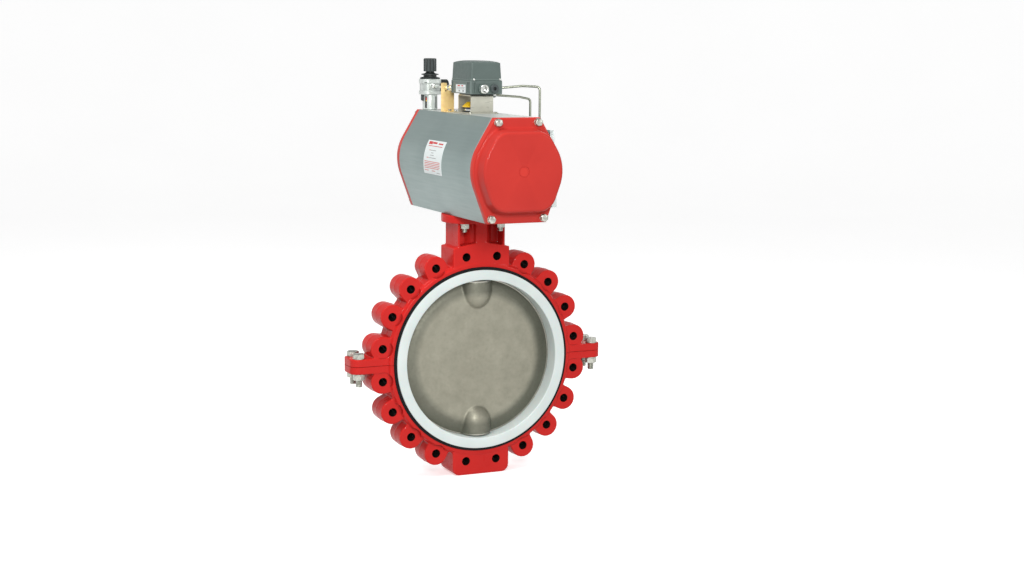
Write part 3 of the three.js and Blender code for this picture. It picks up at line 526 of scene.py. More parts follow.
def cast_stainless():
    look = Look("cast_stainless", Metallic=0.72, Specular_IOR_Level=0.4)
    base = two_tone(look, srgb(128, 126, 112), srgb(152, 150, 135), 55, 1.6, 0.3)
    stain = look.spread(look.noise(130, 5.0, roughness=0.6), 0.52, 0.72, 0.0, 0.55)
    base = look.mix(stain, base, srgb(118, 115, 101))
    # painted shade: darker from 186 mm out to the rim, where the liner's edge shades the disc
    base = look.mix(look.from_bore(186, 206, 0.62), base, srgb(84, 86, 76))
    # painted highlight: lighter along convex edges
    painted_edge_highlight = look.pointiness(0.515, 0.57, 0.6)
    look.colour(look.mix(painted_edge_highlight, base, srgb(190, 188, 174)))
    look.worn(9, 0.42, 0.62, detail=4.0)
    look.grain(0.9, 0.06, 0.8)
    look.bump(look.cells(4.5), 0.10, 0.35)
    look.grain(45, 0.9, 0.35, detail=3.0)
    return look.material


def zinc():
    look = Look("zinc_plate", Metallic=0.92)
    base = two_tone(look, srgb(128, 130, 122), srgb(200, 201, 192), 6, 0.9)
    passivate = look.spread(look.noise(4.5, 3.0), 0.55, 0.8, 0.0, 0.5)
    base = look.mix(passivate, base, srgb(186, 180, 152))
    # painted shade: darker in hollows, as between a head and its washer
    look.colour(look.mix(look.pointiness(0.47, 0.42, 0.8), base, srgb(70, 68, 62)))
    look.worn(3, 0.24, 0.42)
    look.grain(0.7, 0.03, 0.7)
    return look.material


def anodised():
    look = Look("anodised_aluminium", Metallic=0.62, Specular_IOR_Level=0.45)
    base = two_tone(look, srgb(130, 146, 144), srgb(150, 165, 162), 160, 2.0, 0.3)
    draw = look.spread(look.noise(9, 3.0, stretch=(1, 40, 1)), 0.35, 0.65, 0.0, 0.07)
    base = look.mix(draw, base, srgb(176, 188, 188))
    base = look.mix(look.spread(look.noise(70, 5.0, stretch=(1, 2.4, 1)), 0.55, 0.8, 0.0, 0.25), base,
                    srgb(130, 146, 147))
    # painted light: upward faces lighter, as the top flat catches the sky
    look.colour(look.mix(look.facing_up(0.9, 0.98), base, srgb(206, 211, 207)))
    look.worn(6, 0.38, 0.48, stretch=(1, 20, 1))
    look.grain(1.6, 0.015, 0.7, stretch=(1, 70, 1))
    look.grain(0.6, 0.02, 0.5)
    return look.material


def black_plastic():
    look = Look("black_plastic", Specular_IOR_Level=0.45)
    base = two_tone(look, srgb(17, 21, 21), srgb(30, 36, 35), 14, 1.1)
    # painted highlight: lighter grey along convex edges
    look.colour(look.mix(look.pointiness(0.52, 0.6, 0.6), base, srgb(96, 108, 108)))
    look.worn(4, 0.36, 0.55)
    look.grain(0.5, 0.03, 0.8)
    return look.material


def grey_plastic():
    look = Look("grey_plastic", Specular_IOR_Level=0.45)
    base = two_tone(look, srgb(73, 86, 82), srgb(84, 98, 94), 45, 1.2)
    # painted highlight: lighter grey along convex edges
    look.colour(look.mix(look.pointiness(0.52, 0.58, 0.5), base, srgb(122, 136, 131)))
    look.worn(10, 0.40, 0.56)
    look.grain(0.8, 0.05, 0.8)
    return look.material


def sheet_stainless():
    look = Look("sheet_stainless", Metallic=0.6)
    base = two_tone(look, srgb(174, 173, 160), srgb(196, 195, 182), 26, 1.5)
    look.colour(look.mix(look.spread(look.noise(16, 4.0), 0.55, 0.8, 0.0, 0.35), base, srgb(150, 147, 132)))
    look.worn(2, 0.26, 0.44, stretch=(14, 14, 1))
    look.grain(0.5, 0.012, 0.7, stretch=(24, 24, 1))
    return look.material


def silver_casting():
    look = Look("silver_casting", Metallic=0.45, Coat_Weight=0.15, Coat_Roughness=0.25)
    base = two_tone(look, srgb(182, 189, 185), srgb(214, 220, 216), 16, 0.9)
    # painted shade: darker in hollows and creases
    look.colour(look.mix(look.pointiness(0.48, 0.42, 0.6), base, srgb(120, 126, 124)))
    look.worn(5, 0.34, 0.50)
    look.grain(1.0, 0.06, 0.8, detail=3.0)
    return look.material


def chromate():
    look = Look("yellow_chromate", Metallic=0.45)
    base = two_tone(look, srgb(228, 196, 124), srgb(244, 216, 156), 14, 1.0)
    bloom = look.spread(look.noise(9, 4.0, distortion=1.0), 0.52, 0.75, 0.0, 0.55)
    base = look.mix(bloom, base, srgb(226, 178, 146))
    look.colour(base)
    look.worn(4, 0.28, 0.46)
    look.grain(0.7, 0.015, 0.7)
    return look.material


def shaded(name, low, high, patches, worn, grain, **sockets):
    """A material of two close shades with a worn sheen and a fine grain."""
    look = Look(name, **sockets)
    look.colour(two_tone(look, srgb(*low), srgb(*high), *patches))
    look.worn(*worn)
    look.grain(*grain)
    return look.material


def lathe_turned(name, low, high, patches, worn, pitch, metallic):
    """A metal with fine rings about z."""
    look = Look(name, Metallic=metallic)
    look.colour(two_tone(look, srgb(*low), srgb(*high), *patches))
    look.worn(*worn)
    look.bump(look.rings(pitch, "Z"), 0.02, 0.6)
    return look.material


def film(name, low, high):
    return shaded(name, low, high, (18, 0.8), (8, 0.34, 0.5), (6, 0.03, 0.5), Coat_Weight=0.25,
                  Coat_Roughness=0.12)


RED, RED_SMOOTH, PTFE, CAST_STEEL, ZINC = red_paint(), smooth_red(), white_ptfe(), cast_stainless(), zinc()
ANODISED, BLACK, GREY, SHEET = anodised(), black_plastic(), grey_plastic(), sheet_stainless()
SILVER, GILT = silver_casting(), chromate()
RUBBER = shaded("black_rubber", (12, 12, 13), (24, 24, 26), (20, 1.5), (6, 0.62, 0.85),
                (1.2, 0.08, 0.8, 3.0), Specular_IOR_Level=0.15)
# bare thread darkened nearly to black: painted shade deep in the lug holes
BARE_IRON_AND_HOLE_SHADE = shaded("bare_iron_and_hole_shade", (22, 16, 15), (40, 31, 28), (8, 0.9), (3, 0.40, 0.60),
                   (0.7, 0.03, 0.7), Metallic=0.6, Specular_IOR_Level=0.3)
MILLED = shaded("milled_aluminium", (172, 180, 178), (204, 210, 208), (40, 1.4),
                (3, 0.28, 0.44, 3.0, (1, 12, 1)), (0.8, 0.02, 0.7, 2.0, (1, 20, 1)), Metallic=0.8)
TUBE = shaded("tube_stainless", (124, 128, 114), (166, 170, 156), (18, 1.0), (3, 0.22, 0.38),
              (0.8, 0.015, 0.7), Metallic=0.9)
NICKEL = shaded("nickel_plate", (196, 198, 194), (226, 228, 224), (10, 0.8), (3, 0.16, 0.30),
                (0.9, 0.012, 0.6), Metallic=1.0)
YELLOW = shaded("yellow_plastic", (206, 164, 14), (226, 186, 26), (10, 0.8), (3, 0.30, 0.46),
                (0.6, 0.02, 0.7), Coat_Weight=0.2, Coat_Roughness=0.2)
SMOKED = shaded("smoked_bowl", (30, 30, 32), (60, 56, 54), (9, 1.0), (4, 0.10, 0.24), (6, 0.05, 0.4),
                Coat_Weight=0.5, Coat_Roughness=0.08)
TURNED = lathe_turned("turned_steel", (140, 138, 128), (168, 166, 156), (30, 1.2), (5, 0.32, 0.46), 0.8, 1.0)
BRONZE = lathe_turned("bearing_bronze", (150, 110, 56), (182, 138, 76), (12, 1.0), (4, 0.30, 0.48), 0.7, 0.95)
LABEL = film("label_white", (216, 224, 223), (228, 235, 234))
LABEL_RED = film("label_red", (190, 34, 32), (208, 48, 44))
LABEL_GREY = film("label_grey", (120, 122, 122), (150, 152, 152))
NAVY = film("band_navy", (28, 34, 72), (44, 52, 92))
SIGNAL = film("signal_red", (190, 40, 36), (214, 60, 50))


# ---------------------------------------------------------------- valve body casting
def at_hole(angle, along, out):
    """The (x, z) of a point beside a bolt hole, along the bolt circle and outward from it."""
    reach = BOLT_CIRCLE_R + out
    return (reach * math.sin(angle) + along * math.cos(angle),
            reach * math.cos(angle) - along * math.sin(angle))


def lug(angle):
    """A lug with draft on both sides of a raised parting line."""
    steps, root = 24, -34
    arc = [(LUG_R * math.cos(math.pi * k / steps), LUG_R * math.sin(math.pi * k / steps))
           for k in range(steps + 1)]
    outline = [(LUG_R, root), *arc, (-LUG_R, root)]
    draft = [(LUG_FACE, 0.965), (3.0, 1.0), (1.0, 1.018)]
    rings = []
    for height, size in [(-y, size) for y, size in draft] + draft[::-1]:
        flat = [at_hole(angle, u * size, v * (size if v > 0 else 1)) for u, v in outline]
        rings.append(in_axis(flat, height, "y"))
    return skin(rings)


def both_faces(half):
    """A (radius, y) profile from the front face, continued by its mirror image to the rear face."""
    return half + [(r, -y) for r, y in reversed(half)]


def neck_box():
    """Four pockets around a column: the middle rib, the web across it and a plate on each side."""
    low, high = 330, 420
    column = prism("z", circle(44, 96), low, high)
    rib = prism("z", rectangle(-19, -52, 19, 52, 3), low, high)
    web = block((-76, -14, low), (76, 14, high))
    plate = block((69.6, -52.2, low), (76.2, 52.2, high))
    return merged(column, rib, web, plate, mirrored(plate, "X"))


def casting_blank():
    half = [(258, 55.4), (293.5, 55.4), (297, LUG_FACE), (300, LUG_FACE), (300, 3), (301.0, 1.5)]
    ring = lathe("y", both_faces(half), 192, closed=True)
    gable = [(-NECK_X, 284), (NECK_X, 284), (NECK_X, 342), (0, 359), (-NECK_X, 342)]
    gable = prism("y", gable, -CASTING_Y, CASTING_Y)
    flange = prism("z", [(x, max(-76, min(76, y))) for x, y in circle(103.5, 128)], 416, 440)
    foot = prism("y", rectangle(-92, -357, 92, -284, [22, 22, 0, 0]), -CASTING_Y, CASTING_Y)
    ear = prism("z", rectangle(290, -46, 410, 46, [0, 24, 24, 0]), -22.5, 22.5)
    lugs = [lug(angle) for angle in LUG_ANGLES]
    return merged(ring, *lugs, gable, neck_box(), flange, foot, ear, mirrored(ear, "X"))


def face_of(angle):
    """How far out the flat face around a bolt hole stands. Neck and foot are thicker than the lugs."""
    return LUG_FACE if angle in LUG_ANGLES else CASTING_Y


def hole_cutter(angle):
    x, z = at_hole(angle, 0, 0)
    minor, seat = THREAD["minor"], face_of(angle) - 1.6
    profile = both_faces([(0, 70), (minor, 70), (minor, seat), (SLEEVE_R, seat)])
    return lathe("y", profile[::-1], 48, (x, 0, z))


def spot_faces(angle):
    x, z = at_hole(angle, 0, 0)
    front = rod("y", SPOT_R, -LUG_FACE - 20, -LUG_FACE - 0.3, (x, 0, z), 48)
    return merged(front, mirrored(front, "Y"))


def threaded_sleeve(angle):
    """The cut thread of a lug hole: a thin sleeve whose inside follows the helix."""
    x, z = at_hole(angle, 0, 0)
    face = face_of(angle) - 1.7
    sides = 32
    rows = int(2 * face / THREAD["pitch"] * 4)
    rings = [in_axis(circle(SLEEVE_R - 0.02, sides), h, "y") for h in (-face, face)]
    for row in range(rows + 1):
        height = face - 2 * face * row / rows
        ring = []
        for k in range(sides):
            phase = (height / THREAD["pitch"] - k / sides) % 1.0
            radius = THREAD["minor"] + (THREAD["major"] - THREAD["minor"]) * abs(2 * phase - 1)
            ring.append((radius * math.cos(TAU * k / sides), radius * math.sin(TAU * k / sides)))
        rings.append(in_axis(ring, height, "y"))
    return moved(skin(rings, closed=True), Matrix.Translation((x, 0, z)))


def machined_cuts():
    bearing_r, seat_pocket_r = 31.3, 282.8
    bore = both_faces([(0, 80), (seat_pocket_r, 80), (seat_pocket_r, 49.7), (262.3, 49.7)])
    stem_bore = [(0, 240), (26.6, 240), (26.6, 300), (bearing_r, 300), (bearing_r, 400), (34.3, 400),
                 (34.3, 425), (42, 425), (42, 445), (0, 445)]
    lower_bore = rod("z", bearing_r, -342, -240, sides=64)
    small = [rod("z", MOUNT_STUD_R + 0.6, 400, 450, (x, y, 0), 32) for x, y in MOUNT_POINTS.values()]
    small += [rod("z", EAR_BOLT_R + 0.5, -30, 30, (x, y, 0), 32) for x, y in EAR_POINTS.values()]
    lug_holes = [hole_cutter(angle) for angle in BOLT_ANGLES]
    faces = [spot_faces(angle) for angle in LUG_ANGLES]
    return [lathe("y", bore[::-1], 256), lathe("z", stem_bore, 64), lower_bore, merged(*small),
            merged(*lug_holes), *faces]


whole = cast(make_object("casting", casting_blank()), 2.0, 9)
carve(whole, *machined_cuts())
for name, low, high in (("upper", SPLIT, 500), ("lower", -500, -SPLIT)):
    half = whole.copy()
    half.data = whole.data.copy()
    half.name = f"{name}_body_casting"
    bpy.context.scene.collection.objects.link(half)
    carve(half, block((-450, -90, low), (450, 90, high)), operation="INTERSECT")
    finish_piece(half, ROOT, RED, f"body_{name}_half", sharp=40)
bpy.data.objects.remove(whole)
# near-black thread sleeves: bare thread with painted shade of the deep holes
threads = merged(*[threaded_sleeve(a) for a in BOLT_ANGLES])
piece("lug_threads", threads, ROOT, BARE_IRON_AND_HOLE_SHADE, sharp=50)


# ---------------------------------------------------------------- seat
def seat_ring(name, half, radii, stem_hole):
    """A ring from a half profile with its corner radii, pierced by the stem."""
    profile = rounded(both_faces(half), radii + radii[::-1], 4)
    return carve(make_object(name, lathe("y", profile, RING_SIDES, closed=True)),
                 rod("z", stem_hole, -300, 300, sides=64))


liner_profile = [(BORE_R, 63.5), (LINER_R, 63.5), (LINER_R, 55.5), (253, 55.5)]
liner = seat_ring("liner", liner_profile, [3.5, 1.2, 0.6, 1.0], STEM_R + 0.4)
finish_piece(liner, ROOT, PTFE, "seat_liner", sharp=50)
step_r = LINER_R + 0.3
rubber_profile = [(253.3, 55.2), (step_r, 55.2), (step_r, 59), (RUBBER_R, 59), (RUBBER_R, 50), (262, 50)]
energizer = seat_ring("energizer", rubber_profile, [0.3, 0.3, 0.8, 1.2, 0.5, 0.5], STEM_R + 0.6)
finish_piece(energizer, ROOT, RUBBER, "seat_energizer", sharp=50)


# ---------------------------------------------------------------- disc and stem
def disc_blank():
    rim = 240
    half = [(0, 22), (194, 22), (201, 21.6), (208, 20.2), (234, 12.8), (rim, 11.4)]
    plate = lathe("y", both_faces(half), 192)
    end = math.sqrt(rim ** 2 - HUB_R ** 2)
    tip, nose = 143, 62
    curve = [(HUB_R * math.sin(t) ** 1.05, tip + nose * (1 - math.cos(t)))
             for t in (math.pi / 2 * k / 10 for k in range(11))]
    hub = lathe("z", [*curve, (HUB_R, end), (0, end + 3)], 72)
    return merged(plate, hub, mirrored(hub, "Z"))


disc = cast(make_object("disc_casting", disc_blank()), 2.0, 16)
finish_piece(disc, "disc", CAST_STEEL, "disc_stem", sharp=60)


def disc_edge():
    """The machined sphere that seals: a band around the rim and a cap on each boss."""
    arc = [(math.sqrt(DISC_R ** 2 - y * y), y) for y in (10.8, 8, 4, 0, -4, -8, -10.8)]
    band = [(236, 9.4), (240.6, 11.2), *arc, (240.6, -11.2), (236, -9.4)]
    ring = make_object("disc_edge", lathe("y", band, RING_SIDES, closed=True))
    boss = [(r, math.sqrt(DISC_R ** 2 - r * r)) for r in (48.6, 44, 36, 26, 14, 0)]
    for side in (1, -1):
        cap = lathe("z", [(0, side * 232), (48.6, side * 232)] + [(r, side * z) for r, z in boss], 72)
        carve(ring, cap, operation="UNION")
    return ring


finish_piece(disc_edge(), "disc", TURNED, sharp=40)
upper_shaft = rounded([(0, 236), (STEM_R, 236), (STEM_R, 441), (0, 441)], [0, 0.5, 1.5, 0], 3, closed=False)
lower_shaft = rounded([(0, -338), (STEM_R, -338), (STEM_R, -236), (0, -236)], [0, 2, 0.5, 0], 3, closed=False)
stem = make_object("stem", merged(lathe("z", upper_shaft, 96), lathe("z", lower_shaft, 96)))
carve(stem, prism("z", rectangle(-18, -18, 18, 18, 3), 439, 515, 1.2), operation="UNION")
finish_piece(stem, "disc", TURNED, sharp=40)


# ---------------------------------------------------------------- bolts and studs
for side, (x, y) in EAR_POINTS.items():
    place = (x, y, 0)
    turn = math.radians(12 if y < 0 else 38)
    bolt = merged(thread("z", EAR_BOLT_R, 1.2, 2.5, -62, 23, place, 32, 2.0),
                  hexagon("z", 32, 25.3, 38.2, place, turn=turn), tube("z", 10.2, 17.5, 22.7, 25.2, place))
    piece(f"ear_bolt_with_washer_{side}", bolt, ROOT, ZINC, f"ear_bolt_{side}")
    nut = merged(hexagon("z", 32, -41.0, -25.3, place, hole=9.2, chamfer_low=True, turn=turn + 0.3),
                 tube("z", 10.2, 17.5, -25.2, -22.7, place))
    piece(f"ear_nut_with_washer_{side}", nut, ROOT, ZINC, f"ear_nut_{side}")
for side, (x, y) in MOUNT_POINTS.items():
    place = (x, y, 0)
    stud = merged(thread("z", MOUNT_STUD_R, 1.0, 2.0, 390.6, 466, place, 32, 1.6),
                  hexagon("z", 24, 401.2, 413.2, place, hole=7.2, chamfer_low=True, turn=0.4),
                  tube("z", 8.4, 13.5, 413.3, 415.8, place))
    piece(f"mounting_stud_and_nut_{side}", stud, ROOT, ZINC, f"mounting_stud_{side}")


# ---------------------------------------------------------------- actuator
def same_angles(outline, radius):
    """Points on a circle about the cylinder axis at the angles of the outline's points."""
    out = []
    for x, z in outline:
        angle = math.atan2(z - ACT_Z, x)
        out.append((radius * math.cos(angle), ACT_Z + radius * math.sin(angle)))
    return out


def section(inset, radius):
    """The actuator's outline moved inward, with a corner radius."""
    return actuator_outline(inset, ACT_TOP - inset, ACT_LOW + inset, (radius, radius), 60)


def extrusion():
    chamfer = 0.9
    ends = [(chamfer, -ACT_HALF), (0, -ACT_HALF + chamfer), (0, ACT_HALF - chamfer), (chamfer, ACT_HALF)]
    inner = same_angles(section(0, 3), CYLINDER_BORE)
    return skin([in_axis(section(inset, 3), height, "y") for inset, height in ends] +
                [in_axis(inner, height, "y") for height in (ACT_HALF, -ACT_HALF)], closed=True)


body = make_object("cylinder_body", extrusion())
pad_outline = rounded([(120, 480), (135.5, 480), (124, 703.5), (112, 703.5)], [0, 3, 3, 0])
pad = make_object("port_pad", prism("y", pad_outline, -ACT_HALF + 0.4, ACT_HALF - 0.4, 0.6))
carve(pad, rod("y", ACT_R - 0.3, -300, 300, (0, 0, ACT_Z), 256))
finish_piece(pad, ROOT, MILLED)
carve(body, merged(rod("z", 55.9, 430, 500, sides=72), rod("z", 31.9, 700, 760, sides=72)))
finish_piece(body, ROOT, ANODISED, "actuator_body", sharp=30)


def dome_wall(height, grow):
    """The dome's tapered outline at a height, made larger by grow."""
    part = (height - CAP_FACE) / (CAP_END - CAP_FACE)
    inset, top, low = 11 + 5 * part, 121.6 - 10.1 * part, -124.6 + 10.6 * part
    outline = actuator_outline(inset - grow, top + grow, low - grow, (66 + grow, 70 + grow), 60)
    return in_axis(outline, height, "y")


def end_cap():
    """The cap as one closed skin: pocket, rim, fillet, tapered wall, and a rounded face with its ring."""
    rim = [(1.2, CAP_START), (0, CAP_START + 1.2), (0, 309.4), (0.5, 311.6), (1.7, 312.9), (4.0, CAP_FACE)]
    rings = [in_axis(section(inset, 3.5), height, "y") for inset, height in rim]
    inner = same_angles([(x, z) for x, _, z in rings[0]], CAP_POCKET)
    centre, pocket_y = [(0, ACT_Z)], CAP_END - 8
    pocket = [in_axis(centre, pocket_y, "y"), in_axis(inner, pocket_y, "y"), in_axis(inner, CAP_START, "y")]
    fillet, crown = 6.0, 7.0
    for turn in (math.pi / 2 * k / 5 for k in range(6)):
        rings.append(dome_wall(CAP_FACE + fillet * (1 - math.cos(turn)), fillet * (1 - math.sin(turn))))
    for turn in (math.pi / 2 * k / 7 for k in range(8)):
        rings.append(dome_wall(CAP_END - crown * (1 - math.sin(turn)), -crown * (1 - math.cos(turn))))
    face = [(x, z) for x, _, z in rings[-1]]
    for radius, depth in ((16.6, 0), (16.2, 0.9), (14.4, 0.9), (14.0, 0)):
        rings.append(in_axis(same_angles(face, radius), CAP_END - depth, "y"))
    return skin([*pocket, *rings, in_axis(centre, CAP_END, "y")])


def cap_screw(place, turn):
    return merged(hexagon("y", 20, 314.6, 326.2, place, turn=turn),
                  tube("y", 7.9, 11.2, 313.6, 314.7, place, 48, 0.3), rod("y", 7.8, 253, 317, place, 32, 0.8))


CAP_TURNS = {"top_right": 0.2, "top_left": 0.75, "bottom_right": 0.5, "bottom_left": 0.05}
for end, sign in (("front", -1), ("rear", 1)):
    side = Matrix.Diagonal((1, sign, 1, 1))
    cap = moved(end_cap(), side)
    piece(f"{end}_domed_cap", cap, ROOT, RED_SMOOTH, f"{end}_end_cap", sharp=32)
    for corner, (x, z) in CAP_BOLTS.items():
        screw = moved(cap_screw((x, 0, z), CAP_TURNS[corner]), side)
        piece(f"{end}_cap_screw_{corner}", screw, ROOT, ZINC, f"{end}_cap_bolt_{corner}")


# ---------------------------------------------------------------- label and port block
def curved_patch(y0, y1, low, high, inner, outer, steps=20):
    """A thin curved plate on the left side of the cylinder, between two angles in degrees above level."""
    angles = [math.pi - math.radians(low + (high - low) * k / steps) for k in range(steps + 1)]
    arc = [(outer * math.cos(a), ACT_Z + outer * math.sin(a)) for a in angles]
    back = [(inner * math.cos(a), ACT_Z + inner * math.sin(a)) for a in reversed(angles)]
    return prism("y", arc + back, y0, y1)


label = curved_patch(-70, 75, -12.5, 30, ACT_R + 0.2, ACT_R + 1.1)
piece("rating_label", label, ROOT, LABEL, "label_plate")
LABEL_BLOCKS = [(32, 62, 24.6, 28.4), (-4, 30, 25.6, 28.0), (-52, -16, 25.4, 27.2)]
LABEL_LINES = [(-14, 32, 16.8), (2, 22, 13.6), (-4, 26, 10.6), (-24, 30, 7.4), (-56, -30, -10.4)]
LABEL_PARAGRAPH = [(-58, 66, 2.6 - 2 * k) for k in range(4)]
LABEL_RED_LINES = [(-54, 58, 22.2), (22, 40, 16.8), (34, 52, 7.4), *LABEL_PARAGRAPH, (-50, 66, -5.4),
                   (34, 66, -8.4), (-20, 8, -8.4)]


def label_mark(y0, y1, low, high, steps=20):
    return curved_patch(y0, y1, low, high, ACT_R + 0.9, ACT_R + 1.25, steps)


marks = merged(*[label_mark(*row) for row in LABEL_BLOCKS],
               *[label_mark(a, b, at, at + 0.75, 4) for a, b, at in LABEL_RED_LINES])
piece("label_red_marks", marks, ROOT, LABEL_RED)
marks = merged(*[label_mark(a, b, at, at + 0.7, 4) for a, b, at in LABEL_LINES])
piece("label_grey_marks", marks, ROOT, LABEL_GREY)

PORT_SCREWS = [(0, y, z) for y in (-105, -8) for z in (580, 616)]
manifold = make_object("port_block", prism("x", rectangle(-111, 574, -2, 622, 3), 128, 148, 0.8))
carve(manifold, rod("y", ACT_R + 0.3, -200, 200, (0, 0, ACT_Z), 256))
carve(manifold, merged(*[rod("x", 3.2, 143, 150, place, 24) for place in PORT_SCREWS]))
finish_piece(manifold, ROOT, MILLED, "port_manifold")
screws = merged(*[rod("x", 5.6, 145.5, 149.4, place, 32, 0.8) for place in PORT_SCREWS])
screws = make_object("port_block_screws", screws)
carve(screws, merged(*[hexagon("x", 4, 147, 151, place, chamfer_high=False) for place in PORT_SCREWS]))
finish_piece(screws, ROOT, ZINC)


# ---------------------------------------------------------------- positioner
def box_rings(rows):
    """Rounded rectangles stacked up z. A row is (z, half width, front y, back y, corner radius)."""
    return skin([in_axis(rectangle(-x, front, x, back, r, 8), z, "z") for z, x, front, back, r in rows])


bracket = make_object("bracket", prism("x", rectangle(-50, FOOT_Z, 50, 797, 5), -36, 36))
carve(bracket, prism("x", rectangle(-47, FOOT_TOP, 47, 794, 2, 4), -40, 40))
carve(bracket, prism("z", rectangle(-48, -66, 48, 66, 6), FOOT_Z, FOOT_TOP, 0.4), operation="UNION")
carve(bracket, merged(rod("z", 42, 740, 750, sides=96), rod("z", 14, 790, 800, sides=48)))
finish_piece(bracket, ROOT, SHEET, "positioner_bracket", sharp=30)
feet = [(x, y, 0) for x in (-41, 41) for y in (-58, 58)]
screws = [merged(rod("z", 4.6, FOOT_TOP + 0.1, 748, foot, 32, 0.8), rod("z", 3, 741, 747, foot, 16))
          for foot in feet]
piece("bracket_foot_screws", merged(*screws), ROOT, ZINC)

base_rows = [(801, 50.7, -82.2, 69.2, 3), (802.0, 51.5, -83, 70, 3.5), (838.8, 51.5, -83, 70, 3.5),
             (840.8, 50.0, -81.5, 68.5, 3)]
base = make_object("base", box_rings(base_rows))
recesses = [(-60, -78, -49.6, -57), (-60, 52, -49.6, 64), (49.6, -78, 60, -57), (49.6, 44, 60, 64),
            (-45, -90, -33, -81.2)]
carve(base, merged(*[block((x0, y0, 806), (x1, y1, 835), 1.2) for x0, y0, x1, y1 in recesses]))
tube_port = block((38, -27, 789), (45.7, -13, 803), 1.0)
boss = lathe("y", [(0, -60), (14, -60), (14, -94), (13.2, -95), (0, -95)], 64, CONDUIT)
pillars = [rod("z", 6.2, 806, 840.6, (x, -76.5, 0), 32, 0.6) for x in (-41.5, 41.5)]
carve(base, tube_port, boss, *pillars, operation="UNION")
carve(base, merged(rod("y", 8.5, -100, -78, CONDUIT, 48), rod("z", 5.5, 780, 830, sides=32)))
finish_piece(base, ROOT, GREY, "positioner_base", sharp=32)
gasket = make_object("base_gasket", prism("z", rectangle(-34, -49, 34, 49, 4), 797.1, 800.9, 0.3))
carve(gasket, rod("z", 7, 790, 805, sides=32))
finish_piece(gasket, ROOT, BLACK)

lid_rows = [(841.1, 49.2, -81.6, 69.1, 3.5), (842.0, 49.8, -82.2, 69.7, 4), (845.5, 49.6, -82.0, 69.5, 4),
            (846.3, 49.0, -81.4, 69.0, 4), (891.2, 46.6, -79.6, 67.6, 4), (892.6, 46.0, -79.0, 67.0, 4),
            (893.6, 44.6, -77.6, 65.6, 5), (895.6, 39, -72, 60, 8), (897.3, 32, -65, 53, 10),
            (898.5, 24, -57, 45, 10), (899, 14, -46, 36, 10)]
piece("positioner_cover", box_rings(lid_rows), ROOT, GREY, "positioner_lid", sharp=24)
screws = [rod("y", 2.9, low, high, (x, 0, 844.2), 24, 0.7) for low, high in ((-84.6, -80), (68, 72))
          for x in (-40, 43.5)]
piece("cover_screws", merged(*screws), ROOT, NICKEL)
insert = [(0, -92.5), (2, -92.5), (3.2, -93.4), (6.8, -93.4), (7.6, -92.4), (8.45, -92.4), (8.45, -90),
          (0, -90)]
piece("conduit_dust_plug", lathe("y", insert, 48, CONDUIT), ROOT, NICKEL)
fitting = [(8.6, -95.3), (12.4, -95.3), (13.3, -96.2), (13.3, -104.6), (12.0, -106), (10.0, -106),
           (9.4, -105.2), (9.4, -97), (8.6, -96.4)]
fitting = lathe("y", fitting, 72, CONDUIT, closed=True)
piece("conduit_ring", fitting, ROOT, NICKEL, "conduit_fitting")
plug = [(0, -82), (13.2, -82), (13.2, -89.4), (12.1, -90.6), (5.4, -90.6), (4.6, -89.8), (4.6, -85), (0, -85)]
piece("blanking_plug", lathe("y", plug, 64, (24.5, 0, 817)), ROOT, BLACK)


def sticker_bars(rows):
    """Printed bars on the sticker. A row is (front y, back y, low, height)."""
    return merged(*[block((-52.2, y0, low), (-51.9, y1, low + height)) for y0, y1, low, height in rows])


piece("side_sticker", prism("x", rectangle(-46, 804, 30, 828, 2), -52.0, -51.3), ROOT, LABEL)
bars = sticker_bars([(-2, 16, 822.6, 3.8), (-28, -14, 823, 3.0)])
piece("sticker_red_marks", bars, ROOT, LABEL_RED)
bars = sticker_bars([(-41, 24, 819, 1.2), (-37, 24, 816.4, 1.0), (-4, 8, 807, 4.6), (-34, -22, 807, 4.6),
                     (-41, 24, 813.8, 0.8)])
piece("sticker_grey_marks", bars, ROOT, LABEL_GREY)


# ---------------------------------------------------------------- position indicator on the pinion
RING_BORE = 20.4


def pinion_ring(name, outer, low, high, edge, body, material, replaces=()):
    profile = rectangle(RING_BORE, low, outer, high, edge, 3)
    piece(name, lathe("z", profile, 96, closed=True), body, material, replaces)


wedge_profile = rounded([(RING_BORE, 760.2), (40, 760.2), (40, 763), (26, 776), (RING_BORE, 776)], 0.6, 3)
wedge = make_object("indicator_wedge", lathe("z", wedge_profile, 96, closed=True))
carve(wedge, merged(block((-45, 16, 763), (45, 50, 780)), block((-45, -50, 763), (45, -16, 780))))
finish_piece(wedge, "disc", YELLOW, "position_indicator")
pinion_ring("indicator_navy_band", 31.5, 754.6, 760, 0.5, "disc", NAVY)
pinion_ring("indicator_silver_band", 33, 749.2, 754.4, 0.5, "disc", NICKEL)
pinion_ring("thrust_washer", 40, 742.8, 748.4, 0.8, ROOT, BLACK, "pinion_thrust_bearing")
link = make_object("feedback_link", rod("z", 4.5, 768.4, 812, sides=32, edge=0.6))
carve(link, block((-12, -3, 769), (12, 3, 775), 0.8), operation="UNION")
finish_piece(link, "disc", ZINC, "feedback_shaft")


# ---------------------------------------------------------------- air tubes and their fittings
TUBE_R, PORT_FACE = 3.6, 148.3
TUBE_RUNS = {"upper": [(51.8, -35, 818), (67, -35, 818), (125, -64, 824), (170, -91, 822), (170, -91, 600),
                       (PORT_FACE, -91, 600)],
             "lower": [(46, -20, 795.8), (60, -20, 795.8), (135, -20, 790), (170, -22, 783), (170, -22, 600),
                       (PORT_FACE, -22, 600)]}


def tube_nut(low, high, collar, place):
    hole = TUBE_R + 0.1
    return merged(hexagon("x", 13, low, high, place, hole=hole, turn=0.3),
                  tube("x", hole, 5.0, high, high + collar, place, 32))


